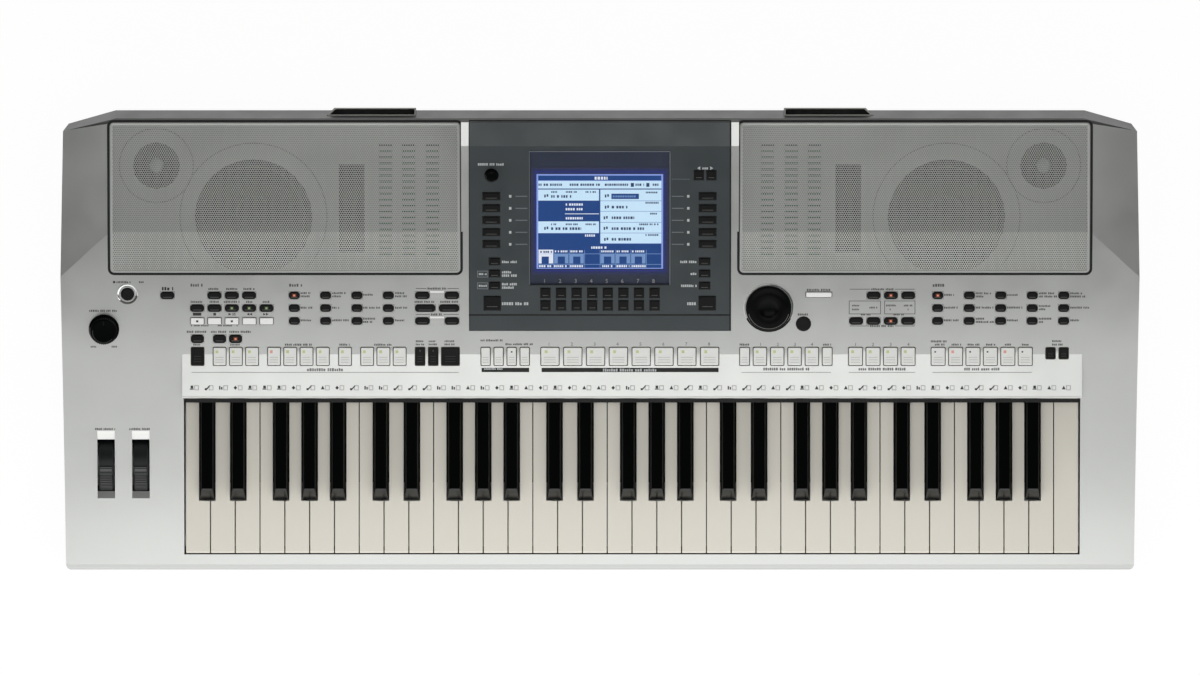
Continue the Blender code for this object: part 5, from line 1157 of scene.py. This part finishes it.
def make_display():
    """The lit picture under the window: two columns, a balance row and small boxes, all blank."""
    paint(BEZEL, "display", "lcd_module")
    window = surface("display_glass", srgb(30, 34, 40), 0.06, mottle=0.02, relief=0.0, sheen=0.02, Alpha=0.10)
    paint(window, "display_window", "lcd_window")
    edge = Marks(lcd_z)
    low, high = LIT_MIDDLE - LIT_DEPTH, LIT_MIDDLE + LIT_DEPTH
    below, above, side = low - GLOW_REACH, high + GLOW_REACH, LIT_HALF + GLOW_REACH
    for box in ((-side, -LIT_HALF, below, above), (LIT_HALF, side, below, above),
                (-LIT_HALF, LIT_HALF, below, low), (-LIT_HALF, LIT_HALF, high, above)):
        edge.bar(*box, low=0.0007, high=0.0009)
    edge.done("display_edge", lit_edge(), "display")
    base, blue, light, white, text, rim = (Marks(lcd_z) for _ in range(6))

    def lay(marks, x0, x1, y0, y1, level):
        """A bar in the display's own units."""
        a, b = (LCD_CORNER[0] + x / LCD_UNITS_PER_PIXEL for x in (x0, x1))
        c, d = (LCD_CORNER[1] + y / LCD_UNITS_PER_PIXEL for y in (y0, y1))
        marks.px(a, b, c, d, low=0.00058, high=0.0006 + 0.00006 * level)

    lay(rim, 415, 1150, 343, 893, 1)
    lay(base, 425, 1140, 383, 745, 2)
    for box in ((425, 1140, 352, 380), (425, 1140, 427, 433), (425, 778, 497, 618), (425, 778, 686, 747),
                (778, 786, 433, 747), (425, 1140, 747, 888), (850, 1010, 457, 488)):
        lay(blue, *box, 3)
    for y in (497, 558, 622, 684):
        lay(light, 786, 1140, y, y + 3, 3)
    lay(white, 580, 778, 572, 576, 4)
    for y in (805, 866):
        lay(light, 425, 1140, y, y + 3, 4)
    for i in range(1, 8):
        lay(light, 425 + LCD_CELL * i, 428 + LCD_CELL * i, 783, 888, 4)
    lay(white, 427, 512, 782, 862, 4)
    lay(blue, 445, 487, 822, 862, 5)
    for i in (1, 2, 4, 5, 6):
        x = 427 + LCD_CELL * i
        lay(light, x + 2, x + 84, 808, 862, 4)
        lay(blue, x + 22, x + 64, 822, 862, 5)
    draw = random.Random(11)

    def line(marks, x0, x1, y, size, level=4):
        """Blank words: small blocks with gaps."""
        x = x0
        while x < x1 - 3:
            wide = draw.uniform(0.5, 0.9) * size
            lay(marks, x, min(x + wide, x1), y - size / 2, y + size / 2, level)
            x += wide + (0.30 if draw.random() < 0.8 else 0.9) * size

    line(white, 753, 828, 367, 17, 5)
    for x0, x1 in ((427, 572), (608, 785), (812, 950), (990, 1040), (1090, 1130)):
        line(text, x0, x1, 405, 13)
    for cx in (972, 1062):
        lay(text, cx - 9, cx + 9, 395, 417, 4)
    for y, ends in ((447, 763), (635, 760)):
        for x0, x1 in ((500, 540), (585, 655), (700, ends)):
            line(text, x0, x1, y, 10)
    for x0, x1, y in ((500, 617, 473), (500, 675, 660), (852, 945, 535), (852, 983, 597), (852, 1045, 660),
                      (852, 970, 722)):
        line(text, x0, x1, y, 15)
    for x0, y in ((460, 470), (460, 658), (812, 470), (812, 535), (805, 597), (805, 658), (808, 722)):
        lay(text, x0, x0 + 9, y - 8, y + 9, 4)
        lay(text, x0 + 14, x0 + 24, y - 10, y + 5, 4)
    for x0, y in ((1050, 450), (1048, 510), (1075, 573), (1012, 635), (1048, 697)):
        line(text, x0, 1125, y, 10)
    line(light, 858, 1002, 473, 11, 5)
    for x0, x1, y in ((585, 685, 520), (585, 685, 547), (585, 690, 600), (697, 760, 700), (733, 825, 770)):
        line(white, x0, x1, y, 13, 5)
    for i in (1, 2, 4, 5, 6):
        x = 427 + LCD_CELL * i
        line(white, x + 6, x + 78, 792, 11, 5)
    line(text, 437, 505, 795, 11, 5)
    for x0, x1 in ((430, 500), (517, 590), (610, 685), (797, 860), (880, 955), (968, 1050)):
        line(white, x0, x1, 878, 12, 5)
    for marks, name, material in ((base, "display_cells", LCD_PALE), (blue, "display_blocks", LCD_BLUE),
                                  (light, "display_grid", LCD_LIGHT), (white, "display_bright", LCD_WHITE),
                                  (text, "display_text", LCD_TEXT), (rim, "display_rim", LCD_RIM)):
        marks.done(name, material, "display")


def make_print():
    """Labels, rules and small symbols on the silver surfaces; the labels are blank blocks."""
    draw = random.Random(3)
    ink = Marks(panel_z)
    for y, size, *spans in (
        (285.2, 2.9, (190.5, 202.6), (289.1, 302.1)),
        (288.9, 2.1, (208.3, 220.1), (226.2, 237.3), (243.4, 254.5)),
        (301.8, 2.1, (190.7, 203.1), (209.6, 219.2), (223.8, 240.1), (246.0, 253.4), (262.7, 270.3)),
        (325.6, 1.6, (193.9, 208.6), (217.9, 233.6)),
        (331.8, 2.1, (186.8, 207.7), (210.9, 226.2), (229.4, 251.2)),
        (344.7, 1.8, (193.3, 200.7), (230.3, 241.0)),
        (344.7, 2.1, (284.9, 311.7), (339.4, 349.6), (374.2, 391.8)),
        (341.2, 1.8, (415.8, 424.1), (428.7, 437.1), (444.5, 454.6)),
        (344.4, 1.8, (415.8, 424.1), (428.7, 437.1), (444.5, 454.6)), (288.5, 2.0, (427.5, 446.3)),
        (301.8, 2.0, (414.5, 435.2), (440.2, 458.0)), (314.4, 2.0, (431.0, 442.6)),
        (289.9, 2.1, (806.9, 830.6)), (314.5, 2.1, (797.7, 808.8)), (289.2, 2.1, (871.2, 893.5)),
        (326.0, 2.1, (870.0, 893.5)), (314.5, 1.9, (860.9, 870.5), (893.5, 904.5)),
        (305.5, 1.8, (852.1, 860.9)), (309.4, 1.8, (852.1, 859.6)), (307.6, 1.8, (869.4, 877.4)),
        (305.5, 1.8, (886.1, 895.8), (903.8, 913.0)), (309.4, 1.8, (889.6, 891.4), (907.6, 909.4)),
        (285.3, 2.9, (932.7, 945.1)), (344.6, 2.0, (739.6, 750.7), (823.0, 831.0)),
        (341.4, 2.0, (930.9, 946.5)),
        (344.6, 2.0, (935.0, 944.5), (951.6, 961.9), (967.6, 980.2), (986.0, 995.6), (1004.8, 1011.7),
         (1022.0, 1029.2)),
        (341.1, 2.0, (1052.1, 1062.9)), (344.6, 2.0, (1052.1, 1062.9)), (340.4, 2.0, (480.5, 502.5)),
        (344.2, 2.0, (505.5, 533.0)), (282.1, 1.9, (116.4, 131.1), (139.0, 143.6)),
        (310.8, 2.1, (89.1, 117.4)), (346.7, 1.8, (90.6, 96.3), (111.6, 118.0)),
    ):
        for x0, x1 in spans:
            ink.words(x0, x1, y, size, draw)
    for heights, columns in (
        ((294.7, 307.7, 320.3), (
            (300.6, (310.4, 310.4), (313.0,), (311.7,)), (332.2, (345.5, 341.0), (340.0,), (348.7,)),
            (363.1, (372.9,), (380.7,), (377.0, 372.5)), (395.1, (405.0, 406.6), (407.1,), (404.2,)))),
        ((294.9, 307.6, 320.3), (
            (944.0, (953.9,), (957.7,), (958.5,)), (975.7, (991.0, 984.0), (993.4,), (985.0, 994.0)),
            (1007.1, (1018.8,), (1022.3,), (1017.7,)),
            (1038.8, (1054.0, 1057.2), (1052.1, 1046.0), (1053.0, 1044.0)),
            (1070.3, (1082.0, 1085.9), (1089.3,), (1079.0,)))),
    ):
        for x0, *cells in columns:
            for ends, y in zip(cells, heights):
                for i, x1 in enumerate(ends):
                    ink.words(x0, x1, y + (3.2 * i - 1.6 if len(ends) > 1 else 0), 2.0, draw)
    for places in ((760.5, 777.8, 795.0, 812.0), (855.6, 873.0, 890.7, 908.4)):
        for i, x in enumerate(places):
            ink.digit(str(i + 1), x, 344.6, 2.6)
    for i in range(8):
        ink.digit(str(i + 1), 549.0 + 22.86 * i, 344.2, 2.6)
    ink.done("panel_print", INK)

    rules = Marks(panel_z)
    for x0, x1, y in ((415.8, 426.5, 288.5), (447.3, 458.9, 288.5), (415.8, 430.0, 314.4),
                      (443.6, 458.9, 314.4), (849.8, 870.0, 289.2), (894.8, 914.8, 289.2),
                      (849.8, 869.4, 326.0), (894.8, 914.8, 326.0)):
        rules.px(x0, x1, y - 0.3, y + 0.3)
    for x0, x1 in ((848.9, 880.8), (884.3, 915.3)):
        rules.frame(x0, x1, 300.7, 314.2, 0.6)
    for x0, x1 in ((191.1, 192.0), (236.6, 237.5)):
        rules.px(x0, x1, 323.9, 326.4)
    rules.done("panel_rules", INK)

    bold = Marks(panel_z)
    bold.words(161.9, 173.2, 288.7, 3.4, draw)
    bold.px(192.9, 201.3, 312.7, 315.7)
    bold.px(213.3, 216.0, 313.0, 315.5)
    for x in (232.6, 234.4):
        bold.px(x, x + 0.9, 312.9, 315.5)
    for tip, base in ((231.5, 228.5), (246.6, 249.3), (249.4, 252.1), (265.9, 263.2), (268.7, 266.0)):
        bold.px_shape((tip, 314.2), (base, 312.9), (base, 315.5))
    bold.px(113.0, 115.2, 281.0, 283.2)
    bold.done("panel_symbols", INK_BOLD)

    # The bright bar at the top of each tempo bridge is a painted highlight
    bright, ribs = Marks(panel_z, 0.0009), Marks(panel_z, 0.0003)
    for top in (290.8, 316.4):
        bright.px(430.0, 444.2, top, top + 2.0)
        for i in range(9):
            ribs.px(430.6 + 1.5 * i, 431.5 + 1.5 * i, top + 2.2, top + 7.0)
    bright.done("tempo_bridge_highlights", BRIGHT_WHITE_AND_HIGHLIGHT)
    ribs.done("tempo_bridge_ribs", TRIM)

    ledge = Marks(ledge_z)
    for x0, x1, y, size in ((307.0, 343.3, 369.7, 3.0), (763.3, 809.7, 369.1, 2.7),
                            (858.6, 905.6, 369.1, 2.7), (964.2, 1000.5, 369.1, 2.7)):
        ledge.words(x0, x1, y, size, draw)
    for x0, x1 in ((191.5, 458.9), (741.5, 831.0), (848.9, 915.3), (932.5, 1031.9)):
        ledge.px(x0, x1, 372.1, 372.6)
    ledge.done("ledge_print", INK_THIN)
    bars = Marks(ledge_z)
    for x0, x1 in ((481.6, 529.2), (541.6, 718.6)):
        bars.px(x0, x1, 367.8, 372.1)
    bars.done("ledge_bars", INK_BLACK)
    pale = Marks(ledge_z, 0.00014)
    pale.words(484.0, 503.0, 368.9, 1.8, draw)
    pale.words(603.0, 657.0, 370.1, 2.8, draw)
    pale.done("ledge_bar_print", INK_WHITE)
    make_icons(draw)
    cheek = Marks(cheek_z)
    for x0, x1, y in ((95.0, 115.1, 429.0), (129.2, 150.5, 429.0), (118.3, 130.8, 553.7)):
        cheek.words(x0, x1, y, 2.1, draw)
    cheek.px_shape((123.2, 555.4), (126.0, 555.4), (124.6, 557.4))
    cheek.done("cheek_print", INK)


def make_front_mark():
    """The small mark over the headphone jack."""
    mark = Marks(cheek_z)
    mark.words(112.4, 124.0, 551.6, 1.8, random.Random(19))
    mark.px_shape((117.3, 553.4), (119.7, 553.4), (118.5, 555.6))
    mark.done("phones_mark", INK)


def make_icons(draw):
    """The row of small generic signs over the keys: a box with a mark beside it."""
    light, dark = Marks(ledge_z), Marks(ledge_z)
    for i in range(61):
        x, y = 194.2 + 14.53 * i, 387.8
        kind = draw.randrange(5)
        light.frame(x + 0.2, x + 4.6, y - 2.4, y + 2.4, 0.6)
        if kind == 0:
            dark.px(x - 3.6, x - 1.0, y - 2.2, y + 0.6)
            dark.px(x - 4.4, x - 0.4, y + 0.8, y + 1.8)
        elif kind == 1:
            dark.px_shape((x - 3.4, y + 2.0), (x + 0.6, y - 2.6), (x + 1.6, y - 2.0), (x - 2.4, y + 2.6))
            dark.px(x - 4.0, x - 2.2, y + 0.4, y + 2.4)
        elif kind == 2:
            dark.px_shape((x - 4.2, y + 1.6), (x - 2.2, y - 2.2), (x - 0.4, y + 1.6))
        elif kind == 3:
            dark.px(x - 4.2, x - 2.8, y - 1.8, y + 1.8)
            dark.px(x - 2.2, x - 0.8, y - 0.8, y + 1.8)
        else:
            dark.px_shape((x - 4.2, y), (x - 2.4, y - 2.0), (x - 0.6, y), (x - 2.4, y + 2.0))
    light.done("sign_boxes", LINE_GREY)
    dark.done("sign_shapes", INK_BOLD)


def make_controls():
    """Knobs, the data dial, the round buttons, the wheels and their trims."""
    make_knob("volume_knob", -0.4638, 0.0094, 0.0143, 0.0115, 40)
    make_knob("contrast_knob", -0.1012, 0.1528, 0.0066, 0.0060, 18)
    x, y, r, h = 0.1576, 0.0294, 0.0214, 0.0052
    axes = on_panel(x, y)
    back = axes.inverted()
    dish = [(0.0, h - 0.0026), (0.0030, h - 0.0025), (0.0060, h - 0.0020), (0.0080, h - 0.0011),
            (0.0090, h - 0.0006), (0.0098, h - 0.0004), (0.0130, h - 0.00005), (0.0150, h - 0.0001),
            (0.0180, h - 0.0005), (0.0190, h - 0.0008), (0.0196, h - 0.0008), (0.0202, h - 0.0009),
            (0.0211, h - 0.0018), (r, h - 0.0028), (r, GAP), (0.0, GAP)]
    mesh = turned(dish, 96, axes)
    # A pale band on the dial's front rim: painted highlight
    for face in mesh.polygons:
        face.material_index = int(0.0189 < bearing(face, back)[1] < 0.0197 and face.center.y < y - 0.006)
    place("data_dial_body", mesh, (DIAL_BLACK, EDGE_HIGHLIGHT), body_of("data_dial"), "black_case", ["data_dial"])
    well = [(r + 0.0020, 0.00005), (r + 0.0018, 0.0007), (r + 0.0015, 0.0008), (r + 0.0005, 0.0002),
            (r + 0.0004, -0.0006), (r + 0.0020, -0.0006), (r + 0.0020, 0.00005)]
    mesh = turned(well, 96, axes)
    # The ring's rear left is painted pale as a highlight and its front black as shade; the rest is silver
    for face in mesh.polygons:
        turn = bearing(face, back)[0]
        face.material_index = 0 if 88 < turn < 205 else 1 if 205 <= turn < 335 else 2
    place("data_dial_ring", mesh, (DIAL_RING_HIGHLIGHT, BLACK_GAP_AND_SHADE, SILVER))
    power = on_panel(-0.4415, 0.0424)
    for node, axes, r, h in (("power_button", power, 0.0061, 0.0012),
                             ("enter_button", on_panel(0.1902, 0.0144), 0.0070, 0.0016)):
        profile = [(0, h - 0.0003), (r * 0.5, h - 0.0002), (r * 0.82, h), (r * 0.94, h - 0.0002),
                   (r, h - 0.0008), (r, RUNNER_TOP), (r + 0.0012, RUNNER_TOP), (r + 0.0012, -0.0066),
                   (0, -0.0066)]
        place(f"{node}_cap", turned(profile, 48, axes), BLACK_BUTTON, body_of(node), "black_button", [node])
    ring = [(0.0098, 0.00005), (0.0097, 0.0014), (0.0093, 0.0017), (0.0089, 0.0016), (0.0068, 0.0004),
            (0.0066, 0.0001), (0.0066, -0.0008), (0.0098, -0.0008), (0.0098, 0.00005)]
    mesh = turned(ring, 64, power)
    back = power.inverted()
    for face in mesh.polygons:
        face.material_index = int(222 < bearing(face, back)[0] < 350)
    place("power_ring", mesh, (CHROME, TRIM_SHADE), "case", "bracket_metal")
    make_wheels()


def make_knob(name, x, y, r, h, ribs):
    """A knob whose rim has a painted highlight at the front, with a pointer and grips round its side."""
    axes, body = on_panel(x, y), body_of(name)
    back = axes.inverted()
    top = r * 0.83
    profile = [(0, h - 0.0005), (top * 0.55, h - 0.0004), (top * 0.84, h - 0.0001), (top * 0.90, h),
               (top * 0.96, h - 0.0002), (top, h - 0.0008), (top * 1.03, 0.0024), (r * 0.97, 0.0018),
               (r, 0.0012), (r, GAP), (0, GAP)]
    mesh = turned(profile, 80, axes)
    # The front of the rim gets the paler paint: painted highlight
    for face in mesh.polygons:
        turn, far = bearing(face, back)
        face.material_index = int(170 < turn < 320 and (top * 0.84 < far < top * 0.90 or far > top * 1.01))
    place(f"{name}_body", mesh, (BLACK_KNOB, KNOB_RIM_HIGHLIGHT), body, "black_case", [name])
    pointer = Tops(axes, h, 0.0006)
    pointer.block(-0.0004, 0.0004, top * 0.55, top * 0.90, 0.00008)
    pointer.done(f"{name}_pointer", BLACK_BUTTON, body, "black_case")
    grips = bmesh.new()
    size = Matrix.Diagonal((r * 0.045, r * 0.07, h - 0.0036, 1))
    for i in range(ribs):
        a = 2 * math.pi * i / ribs
        spot = Matrix.Translation((top * 1.012 * math.cos(a), top * 1.012 * math.sin(a), (h + 0.0016) / 2))
        bmesh.ops.create_cube(grips, size=1.0, matrix=axes @ spot @ Matrix.Rotation(a, 4, "Z") @ size)
    place(f"{name}_grips", mesh_from(grips), BLACK_KNOB, body, "black_case")


def make_wheels():
    """The two wheels, with a raised bar, fine ribs and pale grips on the part that shows."""
    low = WHEEL_R - 0.0008
    outline = []
    for degrees in range(0, 360, 2):
        r = low
        if 4 <= degrees <= 16:
            r = WHEEL_R if 6 <= degrees <= 14 else low + 0.0004
        elif 20 <= degrees <= 62:
            r = low - 0.0008 * (((degrees - 20) // 2) % 2)
        outline.append((math.radians(degrees), r))
    grips = [(5.5, WHEEL_R - 0.0002, 0.0006), (10.5, WHEEL_R - 0.0001, 0.0026)]
    grips += [(18.5 + 4.0 * i, low - 0.0001, 0.0008) for i in range(11)]
    half, ease = WHEEL_W / 2, 0.0007
    cy, cz = WHEEL_CENTRE
    for node, x in zip(("pitch_bend_wheel", "modulation_wheel"), WHEEL_X):
        bm = bmesh.new()
        rows = [[bm.verts.new((x + across, cy - (r - inset) * math.sin(t), cz + (r - inset) * math.cos(t)))
                 for t, r in outline]
                for across, inset in ((-half, ease), (-half + ease, 0.0), (half - ease, 0.0), (half, ease))]
        bridge(bm, rows)
        bm.faces.new(rows[0])
        bm.faces.new(rows[-1][::-1])
        bmesh.ops.recalc_face_normals(bm, faces=bm.faces)
        place(f"{node}_body", mesh_from(bm, 25), WHEEL_BODY, body_of(node), "black_case", [node])
        bits = bmesh.new()
        for degrees, reach, wide in grips:
            t = math.radians(degrees)
            spot = Matrix.Translation((x, cy - reach * math.sin(t), cz + reach * math.cos(t)))
            size = Matrix.Diagonal((WHEEL_W - 0.0030, wide, 0.0005, 1))
            bmesh.ops.create_cube(bits, size=1.0, matrix=spot @ Matrix.Rotation(t, 4, "X") @ size)
        place(f"{node}_grip", mesh_from(bits), WHEEL_GRIP, body_of(node), "black_case")
    paint(STEEL, "bracket_metal", "wheel_bracket")


def make_rear():
    """The sockets at the back and front, the feet and the small hardware."""
    wall, slant = 0.0011, 0.0070
    for hand, side in (("left", -1), ("right", 1)):
        paint(CASE_BLACK, "black_case", f"{hand}_music_rest_socket")
        low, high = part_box(f"{hand}_music_rest_socket")
        inner, outer = (high.x, low.x) if side < 0 else (low.x, high.x)
        back, front = high.y, low.y
        rim = [(inner, front), (outer, front), (outer - side * slant, back), (inner, back)]
        hole = [(inner + side * wall, front + wall), (outer - side * 2.4 * wall, front + wall),
                (outer - side * (slant + 1.2 * wall), back - wall), (inner + side * wall, back - wall)]
        top = Marks(lambda y: high.z, 0.0004)
        for i in range(4):
            j = (i + 1) % 4
            top.shape([rim[i], rim[j], hole[j], hole[i]])
        top.done(f"{hand}_rest_rim", RIB_PALE)
    paint(CASE_BLACK, "black_case", "rear_jack_panel", "phones_jack")
    low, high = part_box("rear_jack_panel")
    middle = (low.z + high.z) / 2
    nut = [(0.0062, 0.0), (0.0060, 0.0012), (0.0048, 0.0016), (0.0036, 0.0016), (0.0035, -0.0010),
           (0.0062, -0.0010), (0.0062, 0.0)]
    for i in range(5):
        spot = Matrix.Translation((low.x + 0.03 * (i + 0.5), high.y, middle))
        mesh = turned(nut, 36, spot @ Matrix.Rotation(-math.pi / 2, 4, "X"))
        place(f"rear_jack_nut_{i + 1}", mesh, TRIM if i else STEEL, "case", "bracket_metal")
    wall = 0.0005
    for name, from_end, half_w, half_h in (("usb_b_shell", 0.06, 0.0042, 0.0039),
                                           ("usb_a_shell", 0.025, 0.0066, 0.0029)):
        x = high.x - from_end
        bm = bmesh.new()
        back, front = high.y - 0.0020, high.y + 0.0004
        loops = [[bm.verts.new((x + sx * (half_w - 0.0002 + grow), y, middle + sz * (half_h - 0.0002 + grow)))
                  for sx, sz in ((-1, -1), (1, -1), (1, 1), (-1, 1))]
                 for grow, y in ((0.0, back), (0.0, front), (wall, front), (wall, back))]
        bridge(bm, loops + loops[:1])
        bmesh.ops.recalc_face_normals(bm, faces=bm.faces)
        place(name, mesh_from(bm), STEEL, "case", "bracket_metal")
    for end in ("front", "rear"):
        paint(RUBBER, "foot_rubber", f"{end}_left_foot", f"{end}_right_foot")
    paint(BOARD, "circuit_board", "main_board")


make_stage()
make_casing()
make_grilles()
make_buttons()
make_keys()
make_centre()
make_print()
make_front_mark()
make_controls()
make_rear()
